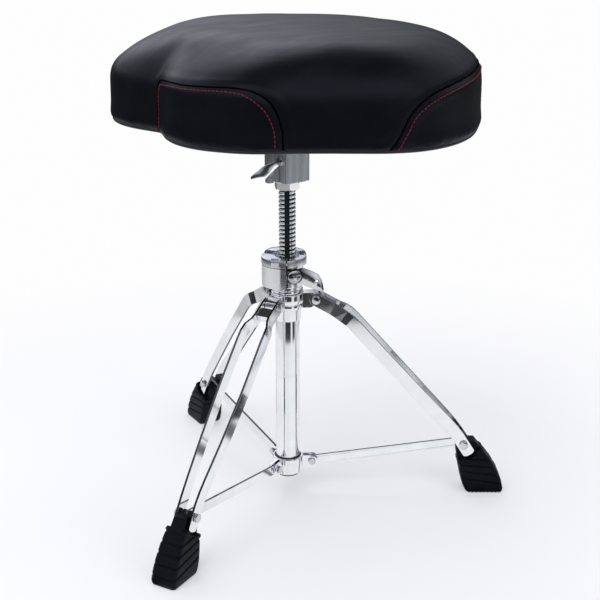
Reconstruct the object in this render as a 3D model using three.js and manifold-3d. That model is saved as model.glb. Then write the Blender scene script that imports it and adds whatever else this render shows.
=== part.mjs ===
// Folding tripod drum throne: threaded column, double-strip legs, saddle-shaped padded seat.
// Millimetres, +Z up, floor at z = 0. The front of the seat (the side with the notch) faces -Y.
// The stand has its own frame, turned about the column; leg A lies along its +X.
import * as THREE from 'three';
import { mergeVertices } from 'three/addons/utils/BufferGeometryUtils.js';
import Module from 'manifold-3d';

const wasm = await Module();
wasm.setup();

// ---------------------------------------------------------------- shared dimensions
// R is a radius, Z0 and Z1 are the bottom and top of a piece, T a thickness, W a width.
const COLUMN_X = 18.2, COLUMN_Y = 6.19;
const STAND_TURN = 57;              // degrees, direction of leg A about the column
const LEG_PITCH = 120;              // degrees between legs
const GAP = 0.3;                    // running and assembly gap

const TUBE_R = 14.3, TUBE_BORE_R = 12.6, TUBE_Z0 = 23, TUBE_Z1 = 262;
const SLEEVE_BORE_R = TUBE_R + GAP; // bore of everything that fits around the tube
const ROD_R = 9.75, ROD_Z0 = 146, ROD_Z1 = 452;
const KEYWAY_W = 6, KEYWAY_FLOOR = ROD_R - 3.6;

// joints of a leg: [distance from the column axis, height]
const PIVOT = [33.3, 247.9];        // leg to hub
const FOOT_JOINT = [213.0, 62.6];   // leg to strut
const COLLAR_PIN = [29.5, 37.9];    // strut to lower collar

const SEAT_Z0 = 458.8, SEAT_TOP = 560.0;

const FINISHES = {
  chrome: { color: 0xd9dde2, metalness: 1.0, roughness: 0.12 },
  cast: { color: 0x8f959b, metalness: 0.9, roughness: 0.42 },
  steel: { color: 0xaab0b6, metalness: 1.0, roughness: 0.3 },
  zinc: { color: 0xb9bdc1, metalness: 0.9, roughness: 0.38 },
  brass: { color: 0xb08d4a, metalness: 0.9, roughness: 0.35 },
  rubber: { color: 0x1b1c1f, metalness: 0.0, roughness: 0.85 },
  plastic: { color: 0x222326, metalness: 0.0, roughness: 0.5 },
  vinyl: { color: 0x17181d, metalness: 0.0, roughness: 0.45 },
  foam: { color: 0xcfc6a2, metalness: 0.0, roughness: 0.95 },
  wood: { color: 0xb58a57, metalness: 0.0, roughness: 0.7 },
};

// ---------------------------------------------------------------- solids and meshes
const D2R = Math.PI / 180;

// signed volume of an indexed geometry
function volume(geometry) {
  const { position } = geometry.attributes;
  const corner = (i) => new THREE.Vector3().fromBufferAttribute(position, geometry.index.getX(i));
  let sum = 0;
  for (let i = 0; i < geometry.index.count; i += 3) {
    sum += corner(i).dot(corner(i + 1).cross(corner(i + 2))) / 6;
  }
  return sum;
}

// positions only, shared vertices merged, faces pointing out
function clean(geometry) {
  const bare = geometry.clone();
  for (const name of Object.keys(bare.attributes)) {
    if (name !== 'position') bare.deleteAttribute(name);
  }
  const merged = mergeVertices(bare, 1e-4);
  if (volume(merged) < 0) {
    const index = merged.index.array;
    for (let i = 0; i < index.length; i += 3) {
      [index[i + 1], index[i + 2]] = [index[i + 2], index[i + 1]];
    }
  }
  return merged;
}

function indexedGeometry(positions, triangles) {
  const geometry = new THREE.BufferGeometry();
  geometry.setAttribute('position', new THREE.BufferAttribute(new Float32Array(positions), 3));
  geometry.setIndex(new THREE.BufferAttribute(new Uint32Array(triangles), 1));
  return geometry;
}

// The functions below take a shape either as a geometry or as a manifold solid.
function toSolid(shape) {
  if (!shape.isBufferGeometry) return shape;
  const merged = clean(shape);
  return new wasm.Manifold(new wasm.Mesh({
    numProp: 3,
    vertProperties: new Float32Array(merged.attributes.position.array),
    triVerts: new Uint32Array(merged.index.array),
  }));
}

function toGeometry(shape) {
  if (shape.isBufferGeometry) return shape;
  const { vertProperties, triVerts } = shape.getMesh();
  return indexedGeometry(vertProperties, triVerts);
}

const cut = (base, ...tools) => tools.reduce((s, tool) => s.subtract(toSolid(tool)), toSolid(base));
const join = (base, ...more) => more.reduce((s, part) => s.add(toSolid(part)), toSolid(base));
const overlap = (a, b) => toSolid(a).intersect(toSolid(b));

function add(parent, name, finish, shape) {
  const geometry = clean(toGeometry(shape));
  geometry.computeVertexNormals();
  const mesh = new THREE.Mesh(geometry, new THREE.MeshStandardMaterial(FINISHES[finish]));
  mesh.name = name;
  parent.add(mesh);
}

// ---------------------------------------------------------------- basic shapes
const turnZ = (geometry, degrees) => geometry.rotateZ(degrees * D2R);

// cylinders along each axis
const cylX = (radius, x0, x1, [y, z], segments) =>
  new THREE.CylinderGeometry(radius, radius, x1 - x0, segments)
    .rotateZ(Math.PI / 2)
    .translate((x0 + x1) / 2, y, z);
const cylY = (radius, y0, y1, [x, z], segments) =>
  new THREE.CylinderGeometry(radius, radius, y1 - y0, segments)
    .translate(x, (y0 + y1) / 2, z);
const cylZ = (radius, z0, z1, segments, x = 0, y = 0) =>
  new THREE.CylinderGeometry(radius, radius, z1 - z0, segments)
    .rotateX(Math.PI / 2)
    .translate(x, y, (z0 + z1) / 2);

const box = (x0, x1, y0, y1, z0, z1) =>
  new THREE.BoxGeometry(x1 - x0, y1 - y0, z1 - z0)
    .translate((x0 + x1) / 2, (y0 + y1) / 2, (z0 + z1) / 2);

// closed ring turned about Z from a profile of [radius, z] points
function turned(profile, segments) {
  const points = profile.map(([r, z]) => new THREE.Vector2(r, z));
  points.push(points[0].clone());
  return new THREE.LatheGeometry(points, segments).rotateX(Math.PI / 2);
}
const tube = (inner, outer, z0, z1, segments) =>
  turned([[inner, z0], [outer, z0], [outer, z1], [inner, z1]], segments);

function extrude(outline, depth) {
  const shape = new THREE.Shape(outline.map(([x, y]) => new THREE.Vector2(x, y)));
  return new THREE.ExtrudeGeometry(shape, { depth, bevelEnabled: false, steps: 1 });
}
// [x, z] outline pushed along Y, and [x, y] outline pushed along Z
const prismY = (outline, y0, y1) =>
  extrude(outline, y1 - y0).rotateX(Math.PI / 2).translate(0, y1, 0);
const prismZ = (outline, z0, z1) => extrude(outline, z1 - z0).translate(0, 0, z0);

// points along an arc, angles in degrees
function arc([x, y], radius, start, sweep, steps) {
  return Array.from({ length: steps + 1 }, (_, i) => {
    const angle = (start + sweep * i / steps) * D2R;
    return [x + radius * Math.cos(angle), y + radius * Math.sin(angle)];
  });
}
// outline of a round-ended bar between two points
function slot(from, to, width, steps) {
  const heading = Math.atan2(to[1] - from[1], to[0] - from[0]) / D2R;
  return [
    ...arc(to, width / 2, heading - 90, 180, steps),
    ...arc(from, width / 2, heading + 90, 180, steps),
  ];
}
const roundRect = (x0, x1, y0, y1, r, steps) => [
  ...arc([x1 - r, y0 + r], r, -90, 90, steps),
  ...arc([x1 - r, y1 - r], r, 0, 90, steps),
  ...arc([x0 + r, y1 - r], r, 90, 90, steps),
  ...arc([x0 + r, y0 + r], r, 180, 90, steps),
];

// surface through a stack of equal-length loops, each end closed by a fan to its mean point
function loft(loops) {
  const n = loops[0].length;
  const positions = loops.flat(2);
  const triangles = [];
  for (let k = 0; k < loops.length - 1; k++) {
    const lower = k * n;
    const upper = lower + n;
    for (let i = 0; i < n; i++) {
      const j = (i + 1) % n;
      triangles.push(lower + i, lower + j, upper + j, lower + i, upper + j, upper + i);
    }
  }
  for (const k of [0, loops.length - 1]) {
    const middle = positions.length / 3;
    positions.push(...[0, 1, 2].map((d) => loops[k].reduce((s, p) => s + p[d], 0) / n));
    for (let i = 0; i < n; i++) {
      const j = (i + 1) % n;
      if (k === 0) triangles.push(j, i, middle);
      else triangles.push(k * n + i, k * n + j, middle);
    }
  }
  return indexedGeometry(positions, triangles);
}

// ---------------------------------------------------------------- groups
const throne = new THREE.Group();
throne.position.set(COLUMN_X, COLUMN_Y, 0);
const stand = new THREE.Group();
stand.rotation.z = STAND_TURN * D2R;
const seat = new THREE.Group();
throne.add(stand, seat);

// ================================================================ column and hub
const HUB_R = 19.2, HUB_Z0 = 236.6, HUB_Z1 = 256;
const SLEEVE_R = 16.0, SLEEVE_Z0 = 222;
const LUG_TIP_R = 5.8, LUG_HALF_W = 6.8, LUG_ROOT = 17.2, LUG_BORE_R = 3.4;
const NECK_R = 18.0, NECK_Z1 = 264.6;
const SET_SCREW_TURN = 210;         // degrees from -Y, in the stand's frame
const SET_SCREW = [0, HUB_Z0 - 7];
const SET_SCREW_R = 2.3, SET_SCREW_HOLE_R = 2.6;

// plug with a flange under the tube's lower end
function tubeEndPlug() {
  const flangeR = TUBE_R - 0.6, flangeZ0 = TUBE_Z0 - 1.6, flangeZ1 = TUBE_Z0 - 0.4;
  const spigotR = TUBE_BORE_R - GAP, holeR = 4, top = TUBE_Z0 + 13;
  return turned([
    [holeR, flangeZ0], [flangeR, flangeZ0], [flangeR, flangeZ1],
    [spigotR, flangeZ1], [spigotR, top], [holeR, top],
  ], 24);
}

// hub casting: sleeve, ring and three pivot lugs
function legHub() {
  let hub = toSolid(turned([
    [SLEEVE_BORE_R, SLEEVE_Z0], [SLEEVE_R - 0.6, SLEEVE_Z0], [SLEEVE_R, SLEEVE_Z0 + 0.8],
    [SLEEVE_R, HUB_Z0], [HUB_R - 0.8, HUB_Z0], [HUB_R - 0.2, HUB_Z0 + 0.8],
    [HUB_R, HUB_Z1 - 1], [HUB_R - 0.8, HUB_Z1], [SLEEVE_BORE_R, HUB_Z1],
  ], 32));
  const lugOutline = [
    [LUG_ROOT, HUB_Z0 + 0.6], [27.5, HUB_Z0 + 0.9],
    ...arc(PIVOT, LUG_TIP_R, -70, 150, 5),
    [30, HUB_Z1 - 0.6], [LUG_ROOT, HUB_Z1 - 0.6],
  ];
  for (let k = 0; k < 3; k++) {
    const lug = turnZ(prismY(lugOutline, -LUG_HALF_W, LUG_HALF_W), k * LEG_PITCH);
    const bore = turnZ(cylY(LUG_BORE_R, -12, 12, PIVOT, 12), k * LEG_PITCH);
    hub = cut(join(hub, lug), bore);
  }
  return cut(hub, turnZ(cylY(SET_SCREW_HOLE_R, -30, -10, SET_SCREW, 16), SET_SCREW_TURN));
}

add(stand, 'column_tube', 'chrome', tube(TUBE_BORE_R, TUBE_R, TUBE_Z0, TUBE_Z1, 32));
add(stand, 'tube_end_plug', 'plastic', tubeEndPlug());
add(stand, 'leg_hub', 'chrome', legHub());
add(stand, 'hub_set_screw', 'steel',
  turnZ(cylY(SET_SCREW_R, -SLEEVE_R - 0.4, -SLEEVE_BORE_R, SET_SCREW, 16), SET_SCREW_TURN));
add(stand, 'neck_ring', 'chrome', tube(SLEEVE_BORE_R, NECK_R, HUB_Z1 + GAP, NECK_Z1, 32));

// ================================================================ height nut and its clamp
const HOUSING_R = 25.8, HOUSING_Z0 = 265, HOUSING_Z1 = 289.8;
const HOUSING_OFFSET = -4;          // X of the larger radius of housing and lock ring
const HOUSING_CORE_R = 18.4;
const NUT_R = 13.4, NUT_BORE_R = 10.15;
const SPLIT_HALF_W = 0.9;
const CLAMP_TURN = -72;             // degrees, direction of the screw in the stand's frame
const CLAMP_AXIS = [0, 281.2];
const CLAMP_HOLE_R = 4.4;
const BOSS_R = 8.6, BOSS_Y0 = -31.6, BOSS_Y1 = -18.9;

// wing of the lever: [across the screw, height above the screw]
const WING = [
  [2, 8.5], [9, 8.6], [17, 7.6], [24, 5.2], [29.5, 1.6], [32.4, -4],
  [34, -14.2], [31.6, -15.2], [24, -13.4], [14, -10.4], [6, -7.6],
];

// clamp pieces and their holes are made pointing along -Y, then turned
const toClamp = (geometry) => turnZ(geometry, CLAMP_TURN + 90);

// split housing: round core with a larger half on its -X side
function nutHousing() {
  const large = cylZ(HOUSING_R, HOUSING_Z0, HOUSING_Z1, 40, HOUSING_OFFSET);
  const half = overlap(large, box(-40, -SPLIT_HALF_W, -40, 40, 200, 320));
  return cut(
    join(half, cylZ(HOUSING_CORE_R, HOUSING_Z0, HOUSING_Z1, 32)),
    cylZ(NUT_R + GAP, HOUSING_Z0 - 1, HOUSING_Z1 + 1, 28),
    box(-SPLIT_HALF_W, SPLIT_HALF_W, -40, -10, 255, 295),     // split, on the stand's -Y side
    toClamp(cylY(CLAMP_HOLE_R, -30, -10, CLAMP_AXIS, 16)),
    toClamp(cylY(BOSS_R + 0.5, -40, -18.5, CLAMP_AXIS, 28)),  // face the lever's boss turns on
  );
}

function heightNut() {
  return cut(
    tube(NUT_BORE_R, NUT_R, HOUSING_Z0 + 0.2, HOUSING_Z1 - 0.6, 28),
    toClamp(cylY(CLAMP_HOLE_R, -30, -11.6, CLAMP_AXIS, 16)),
  );
}

// thick shank with a thinner outer end
function clampScrew() {
  return toClamp(toGeometry(join(
    cylY(4.0, -27.6, -12.2, CLAMP_AXIS, 12),
    cylY(3.0, -33.2, -27.2, CLAMP_AXIS, 12),
  )));
}

// round boss with a wing, bored for the screw and with a small hole in the wing
function clampLever() {
  const [axisX, axisZ] = CLAMP_AXIS;
  const wing = prismY(WING.map(([x, z]) => [axisX + x, axisZ + z]), BOSS_Y0, -27.4);
  return toClamp(toGeometry(cut(
    join(cylY(BOSS_R, BOSS_Y0, BOSS_Y1, CLAMP_AXIS, 28), wing),
    cylY(4.3, -32, -10, CLAMP_AXIS, 16),
    cylY(1.7, -40, -10, [26.8, axisZ - 4.6], 16),
  )));
}

add(stand, 'nut_housing', 'chrome', nutHousing());
add(stand, 'height_nut', 'brass', heightNut());
add(stand, 'clamp_screw', 'steel', clampScrew());
add(stand, 'clamp_lever', 'chrome', clampLever());

// ================================================================ lock ring, keyed to the rod
const RING_R = 26.3, RING_Z0 = 290.2, RING_Z1 = 299.6;
const RING_STEP_Z1 = 303.4;         // top of the raised part on the +Y side
const RING_SCREW = [-18.4, RING_Z0 + 3.4];    // [y, z] of its axis, along X
const KEY_HALF_W = 2.6, KEY_Y0 = -12.9;

function lockRing() {
  const raised = overlap(
    cylZ(RING_R, RING_Z0 + 0.1, RING_STEP_Z1, 40, HOUSING_OFFSET),
    box(-40, 40, 6, 40, 280, 320),
  );
  return cut(
    join(cylZ(RING_R, RING_Z0, RING_Z1, 40, HOUSING_OFFSET), raised),
    cylZ(ROD_R + 0.45, 280, 320, 28),
    cylZ(13.6, RING_Z1 - 4.2, 320, 28),                   // open recess around the rod
    box(-1.4, 0.2, -40, -8, 280, 320),                    // split, on the stand's -Y side
    box(-18.5, -9.5, -40, -14, RING_Z1 - 3.6, 320),       // open pocket above the screw's -X end
    cylX(2.6, -15.6, 8.4, RING_SCREW, 12),
    box(-KEY_HALF_W - 0.35, KEY_HALF_W + 0.35, KEY_Y0 - GAP, 0, 280, 320),   // seat of the key
  );
}

add(stand, 'lock_ring', 'chrome', lockRing());
add(stand, 'lock_ring_screw', 'steel', cylX(2.3, -12.5, 0.5, RING_SCREW, 12));
add(stand, 'lock_ring_key', 'steel',
  box(-KEY_HALF_W, KEY_HALF_W, KEY_Y0, -KEYWAY_FLOOR - 0.5, RING_Z0 + 0.3, RING_Z1 - 0.8));

// ================================================================ threaded rod, nut and washer
const NUT_FLATS = 26, NUT_Z0 = 378.6, NUT_Z1 = 387.2, NUT_TURN = 12;
const WASHER_R = 15.4, WASHER_Z1 = 389.4;

add(stand, 'threaded_rod', 'steel', cut(
  cylZ(ROD_R, ROD_Z0, ROD_Z1, 32),
  box(-KEYWAY_W / 2, KEYWAY_W / 2, -20, -KEYWAY_FLOOR, ROD_Z0 - 1, NUT_Z0 - 2),
));
add(stand, 'rod_lock_nut', 'chrome', cut(
  turnZ(cylZ(NUT_FLATS / Math.sqrt(3), NUT_Z0, NUT_Z1, 6), NUT_TURN),
  cylZ(ROD_R + GAP, 370, 400, 28),
));
add(stand, 'rod_washer', 'zinc', tube(ROD_R + GAP, WASHER_R, NUT_Z1 + GAP, WASHER_Z1, 40));

// ================================================================ seat bracket
const BRACKET_Z0 = 389.8, BRACKET_Z1 = 460.8;
const SIDE_X = 45.2 / 2, REAR_Y = 33.6 / 2, FRONT_Y = -REAR_Y;    // faces of the block
const FLANGE_Z0 = BRACKET_Z1 - 4.2;
const FLANGE_HALF_X = 56, FLANGE_HALF_Y = 48;
const GUSSET_X = 50, GUSSET_HALF_T = 2.5;
const SEAT_BOLT = [14.5, 414.5];    // [x, z] of the clamp bolt, along Y
const SEAT_BOLT_R = 3.0;
const LEVER_Y0 = FRONT_Y - 3.0, LEVER_Y1 = FRONT_Y - 0.4;
// [x, y] of the screws that hold the seat board
const BOARD_SCREWS = [[-44, -36], [44, -36], [44, 36], [-44, 36]];

// slanted slot: [x, z], in the stand's frame
const SLIT = [[-7.5, 411.5], [-11.5, 412.5], [-40, 388.6], [-40, 380], [-25.6, 389.9], [-7.5, 405.5]];
// lever blade: [x, z], from the eye round to the tip and back
const BLADE = [
  [21, 414.5], [19.4, 418.6], [15, 420.6], [10, 420.4], [-4, 412.4], [-22, 400.5],
  [-23.4, 394], [-21.5, 391], [-4, 400], [11, 408], [17, 408.6], [20.2, 411],
];

function seatBracket() {
  const block = prismZ(roundRect(-SIDE_X, SIDE_X, FRONT_Y, REAR_Y, 2.2, 3),
    BRACKET_Z0, BRACKET_Z1 - 0.1);
  const flange = prismZ(
    roundRect(-FLANGE_HALF_X, FLANGE_HALF_X, -FLANGE_HALF_Y, FLANGE_HALF_Y, 9, 4),
    FLANGE_Z0, BRACKET_Z1);
  // triangular webs under the flange
  const gussets = [-1, 1].map((side) => prismY([
    [side * (SIDE_X - 1), BRACKET_Z1 - 2], [side * GUSSET_X, BRACKET_Z1 - 2],
    [side * GUSSET_X, BRACKET_Z1 - 6], [side * (SIDE_X - 1), BRACKET_Z1 - 26],
  ], -GUSSET_HALF_T, GUSSET_HALF_T));
  return cut(
    join(block, flange, ...gussets),
    cylZ(ROD_R + 0.35, BRACKET_Z0 - 1, ROD_Z1 + 1.5, 28),
    turnZ(prismY(SLIT, -40, 40), STAND_TURN),    // through the front corner on the -X side
    // step down the rear corner on the +X side
    box(SIDE_X - 2.0, SIDE_X + 5, REAR_Y - 6.5, REAR_Y + 5, BRACKET_Z0 - 1, FLANGE_Z0),
    cylY(SEAT_BOLT_R + 0.4, FRONT_Y - 2, -ROD_R + 0.5, SEAT_BOLT, 12),
    ...BOARD_SCREWS.map(([x, y]) => cylZ(3.4, 440, 470, 12, x, y)),
  );
}

// lever: eye and arm across the front face, tip bent forwards
function seatClampLever() {
  const tip = [
    [-19, LEVER_Y1], [-19, LEVER_Y0], [-34, FRONT_Y - 11],
    [-37, FRONT_Y - 10], [-36.4, FRONT_Y - 7.2], [-22, LEVER_Y1],
  ];
  return cut(
    join(prismY(BLADE, LEVER_Y0, LEVER_Y1), prismZ(tip, 388.5, 399.5)),
    cylY(SEAT_BOLT_R + GAP, FRONT_Y - 10, FRONT_Y + 10, SEAT_BOLT, 16),
  );
}

add(seat, 'seat_bracket', 'cast', seatBracket());
add(seat, 'seat_clamp_bolt', 'steel', join(
  cylY(SEAT_BOLT_R, FRONT_Y - 3.4, -ROD_R - 1.2, SEAT_BOLT, 12),
  cylY(5.2, FRONT_Y - 6.6, FRONT_Y - 3.3, SEAT_BOLT, 6),
));
add(seat, 'seat_clamp_lever', 'cast', seatClampLever());

// ================================================================ seat
const COVER_T = 2.0;
const HEM = 26;                     // how far the cover is turned in under the seat
const BOARD_Z0 = SEAT_Z0 + COVER_T + GAP, BOARD_Z1 = BOARD_Z0 + 12.0;
const BOARD_INSET = 5.6, FOAM_INSET = COVER_T + 0.8;
const RIM_H = 50, RIM_POWER = 1.08; // height and fullness of the rounded rim
const FRONT_SINK = 2.7;             // fall of the crown at the front
const SIDE_SINK = 1.1, SIDE_SINK_X = 226;    // fall of the crown at this distance across

// half outline of the seat, from the rear to the notch at the front: [across, forwards]
const HALF_OUTLINE = [
  [0, -212], [70, -199], [132, -169], [175, -130], [206, -91], [223.5, -50.5],
  [226.5, -12], [217, 19], [201, 45], [184, 70], [169.5, 94], [157.5, 116],
  [144, 136.5], [124, 154.5], [98, 169], [67, 175], [38, 172], [12.5, 164], [0, 160.5],
];
const PLAN_POINTS = 54;

// full outline as evenly spaced [x, y] points
const plan = (() => {
  const curve = new THREE.CatmullRomCurve3([
    ...HALF_OUTLINE.map(([x, forwards]) => new THREE.Vector3(x, -forwards, 0)),
    ...HALF_OUTLINE.slice(1, -1).reverse()
      .map(([x, forwards]) => new THREE.Vector3(-x, -forwards, 0)),
  ], true, 'centripetal');
  curve.arcLengthDivisions = 600;
  return Array.from({ length: PLAN_POINTS }, (_, i) => {
    const { x, y } = curve.getPointAt(i / PLAN_POINTS);
    return [x, y];
  });
})();

// unit normals of the outline, pointing into the seat
const inward = plan.map(([x, y], i) => {
  const before = plan[(i + PLAN_POINTS - 1) % PLAN_POINTS];
  const after = plan[(i + 1) % PLAN_POINTS];
  const dx = after[0] - before[0], dy = after[1] - before[1];
  const length = Math.hypot(dx, dy);
  const normal = [-dy / length, dx / length];
  return normal[0] * -x + normal[1] * -y < 0 ? [-normal[0], -normal[1]] : normal;
});

// smooth step from 0, 20 behind the middle of the seat, to 1, 170 in front of it
function frontness(forwards) {
  const t = Math.min(1, Math.max(0, (forwards + 20) / 190));
  return t * t * (3 - 2 * t);
}

// outline that the rounded rim runs up to, as a scaled plan with a bulge at the front middle
const CROWN = {
  across: 0.733,                    // scale in X
  along: 0.705, frontShrink: 0.205, // scale in Y, and how much less it is at the front
  bulge: 8.8, bulgeWidth: 60, bulgeAt: 153,   // forward push, its spread, where it is full
  back: 4,                          // shift towards the rear
};
const crownEdge = plan.map(([x, y]) => {
  const forwards = -y;
  const scaled = forwards * (CROWN.along - CROWN.frontShrink * frontness(forwards));
  const bulge = CROWN.bulge * Math.exp(-((x / CROWN.bulgeWidth) ** 2))
    * (forwards > 0 ? forwards / CROWN.bulgeAt : 0);
  return [x * CROWN.across, -(scaled + bulge - CROWN.back)];
});

const sink = ([x, y]) => FRONT_SINK * frontness(-y) + SIDE_SINK * (x / SIDE_SINK_X) ** 2;

// the plan set in by a distance, at height z
const insetLoop = (inset, z) =>
  plan.map(([x, y], i) => [x + inward[i][0] * inset, y + inward[i][1] * inset, z]);

// loops from the foot of the rim to the crown, set in by a distance
function dome(inset, steps) {
  const top = SEAT_TOP - inset;
  const edge = insetLoop(inset, top - RIM_H);
  const loops = [];
  for (let i = 0; i <= steps; i++) {
    const angle = (Math.PI / 2) * (i / steps);
    const across = 1 - Math.cos(angle) ** RIM_POWER;
    const up = Math.sin(angle) ** RIM_POWER;
    loops.push(edge.map(([x, y, z], k) => [
      x + (crownEdge[k][0] - x) * across,
      y + (crownEdge[k][1] - y) * across,
      z + (RIM_H - sink(plan[k])) * up,
    ]));
  }
  loops.push(crownEdge.map(([x, y], k) => [x * 0.5, y * 0.5, top + 0.6 - 0.5 * sink(plan[k])]));
  return loops;
}

// thin shell, open underneath inside the turned-in hem
function seatCover() {
  const outside = loft([
    insetLoop(HEM, SEAT_Z0), insetLoop(4, SEAT_Z0), insetLoop(0, SEAT_Z0 + 6),
    ...dome(0, 5),
  ]);
  const hollow = loft([
    insetLoop(HEM, SEAT_Z0 - 5), insetLoop(HEM, SEAT_Z0 + COVER_T),
    insetLoop(COVER_T + 3, SEAT_Z0 + COVER_T), insetLoop(COVER_T, SEAT_Z0 + 6),
    ...dome(COVER_T, 4),
  ]);
  return cut(outside, hollow);
}

add(seat, 'seat_cover', 'vinyl', seatCover());
add(seat, 'seat_board', 'wood', cut(
  loft([insetLoop(BOARD_INSET, BOARD_Z0), insetLoop(BOARD_INSET, BOARD_Z1)]),
  ...BOARD_SCREWS.map(([x, y]) => cylZ(3.3, 440, BOARD_Z1 - 2, 12, x, y)),
));
add(seat, 'seat_foam', 'foam', loft([
  insetLoop(FOAM_INSET, BOARD_Z1 + GAP),
  ...dome(FOAM_INSET, 4).map((loop) => loop.map(([x, y, z]) => [x, y, z - GAP])),
]));
BOARD_SCREWS.forEach(([x, y], i) => add(seat, `bracket_screw_${i + 1}`, 'zinc', join(
  cylZ(3.0, FLANGE_Z0 - 0.6, BOARD_Z1 - 3, 12, x, y),
  cylZ(5.4, FLANGE_Z0 - 3.6, FLANGE_Z0 - GAP, 6, x, y),
)));

// ================================================================ lower collar
const COLLAR_R = 18.8, COLLAR_Z0 = 25.6, COLLAR_Z1 = 45.4;
const BUSH_R = SLEEVE_BORE_R + 1.6, COLLAR_BORE_R = BUSH_R + GAP;
const EAR_R = 7.2, EAR_ROOT = 17.4;
const EAR_SPANS = [[-4.9, -2.1], [2.1, 4.9]];    // Y range of each ear of a pair

function lowerCollar() {
  let collar = toSolid(turned([
    [COLLAR_BORE_R, COLLAR_Z0], [COLLAR_R - 1, COLLAR_Z0], [COLLAR_R, COLLAR_Z0 + 1],
    [COLLAR_R, COLLAR_Z1 - 1], [COLLAR_R - 1, COLLAR_Z1], [COLLAR_BORE_R, COLLAR_Z1],
  ], 32));
  const earOutline = [
    [EAR_ROOT, COLLAR_PIN[1] - EAR_R],
    ...arc(COLLAR_PIN, EAR_R, -90, 180, 6),
    [EAR_ROOT, COLLAR_PIN[1] + EAR_R],
  ];
  for (let k = 0; k < 3; k++) {
    for (const [y0, y1] of EAR_SPANS) {
      const ear = turnZ(prismY(earOutline, y0, y1), k * LEG_PITCH);
      const bore = turnZ(cylY(3.0, -12, 12, COLLAR_PIN, 12), k * LEG_PITCH);
      collar = cut(join(collar, ear), bore);
    }
  }
  return collar;
}

add(stand, 'lower_collar', 'chrome', lowerCollar());
add(stand, 'collar_bush', 'plastic',
  tube(SLEEVE_BORE_R, BUSH_R, COLLAR_Z0 + 0.6, COLLAR_Z1 - 0.6, 32));

// ================================================================ legs, struts and feet
// Each leg is built along +X, its own middle plane at y = 0.
const STRIP_T = 2.8, STRIP_W = 15.0;
const STRUT_T = 3.0, STRUT_W = 11.6;
const BOLT_R = 3.0, BOLT_HOLE_R = BOLT_R + 0.3;
const BRIDGE_RUN = [18.7, -10.7];   // direction of the bridge plate: [outwards, up]

// middle line of a leg strip: [distance from the column axis, height]
const STRIP_LINE = [
  PIVOT, [53, 236.7], [59, 233.1], [66, 229.0], [73, 224.0], [79.5, 217.4], [88, 207.7],
  [120, 171.5], [160, 126.5], [188, 95.6], [198, 84.0], [206, 73.4], FOOT_JOINT, [219.6, 52.0],
];
const LINE_STEP = 40;               // aimed-at spacing of stations on the longer stretches
// offset of the strip's middle from the leg's plane: [distance from the column axis, offset]
const STRIP_SPREAD = [
  [0, 8.9], [54, 8.9], [60, 10.6], [66, 14.2], [72, 15.2],
  [120, 15.2], [160, 13.2], [198, 10.2], [204, 9.9], [300, 9.9],
];
const END_ANGLES = [80, 62, 44, 24];    // degrees, stations round a strip's end, tip first
const FOOT_END_REACH = 0.45;        // length of the foot end against a full half circle
const FOOT_END_MIN = 0.45;          // its least half width, as a share of the strip's

// rubber foot, level by level: [z, inner x, outer x, half width]
const FOOT = [
  [0, 219, 262.5, 15.6], [5, 215.8, 263.2, 16.0], [14, 212.2, 261.4, 15.6],
  [26, 209.6, 256.6, 14.9], [41, 207.2, 247.8, 14.0], [53, 204.8, 238.6, 13.0],
  [60, 204.4, 232.0, 12.6], [66.5, 208.0, 226.8, 11.8],
];

function spreadAt(r) {
  const i = STRIP_SPREAD.findIndex(([limit]) => r <= limit);
  const [r0, offset0] = STRIP_SPREAD[i - 1];
  const [r1, offset1] = STRIP_SPREAD[i];
  return offset0 + (offset1 - offset0) * (r - r0) / (r1 - r0);
}

const stripLine = [];
for (let i = 0; i < STRIP_LINE.length - 1; i++) {
  const [x0, z0] = STRIP_LINE[i];
  const [x1, z1] = STRIP_LINE[i + 1];
  const steps = Math.max(1, Math.round(Math.hypot(x1 - x0, z1 - z0) / LINE_STEP));
  for (let k = 0; k < steps; k++) {
    stripLine.push([x0 + (x1 - x0) * k / steps, z0 + (z1 - z0) * k / steps]);
  }
}
stripLine.push(STRIP_LINE.at(-1));

// unit direction of the strip at a station
function stripDirection(i) {
  const [x0, z0] = stripLine[Math.max(0, i - 1)];
  const [x1, z1] = stripLine[Math.min(stripLine.length - 1, i + 1)];
  const length = Math.hypot(x1 - x0, z1 - z0);
  return [(x1 - x0) / length, (z1 - z0) / length];
}

// strip on one side of the leg (side is the sign of y), with rounded ends
function legStrip(side, grow = 0, thickness = STRIP_T) {
  const radius = STRIP_W / 2 + grow;
  const roundEnd = (i, reach, least) => END_ANGLES.map((degrees) => {
    const [x, z] = stripLine[i];
    const direction = stripDirection(i);
    const along = radius * Math.sin(degrees * D2R);
    return {
      point: [x + direction[0] * along * reach, z + direction[1] * along * reach],
      direction,
      half: Math.max(radius * Math.cos(degrees * D2R), least),
    };
  });
  const stations = [
    ...roundEnd(0, -1, 0),
    ...stripLine.map((point, i) => ({ point, direction: stripDirection(i), half: radius })),
    ...roundEnd(stripLine.length - 1, FOOT_END_REACH, radius * FOOT_END_MIN).reverse(),
  ];
  return loft(stations.map(({ point: [x, z], direction: [dx, dz], half }) => {
    const middle = side * spreadAt(x);
    const y0 = middle - thickness / 2, y1 = middle + thickness / 2;
    const upper = [x - dz * half, z + dx * half];
    const lower = [x + dz * half, z - dx * half];
    return [
      [upper[0], y0, upper[1]], [upper[0], y1, upper[1]],
      [lower[0], y1, lower[1]], [lower[0], y0, lower[1]],
    ];
  }));
}

function boredStrip(side) {
  const [y0, y1] = side > 0 ? [5, 14] : [-14, -5];
  return cut(
    legStrip(side),
    cylY(BOLT_HOLE_R, y0, y1, PIVOT, 12),
    cylY(BOLT_HOLE_R, y0, y1, FOOT_JOINT, 12),
  );
}

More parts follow.
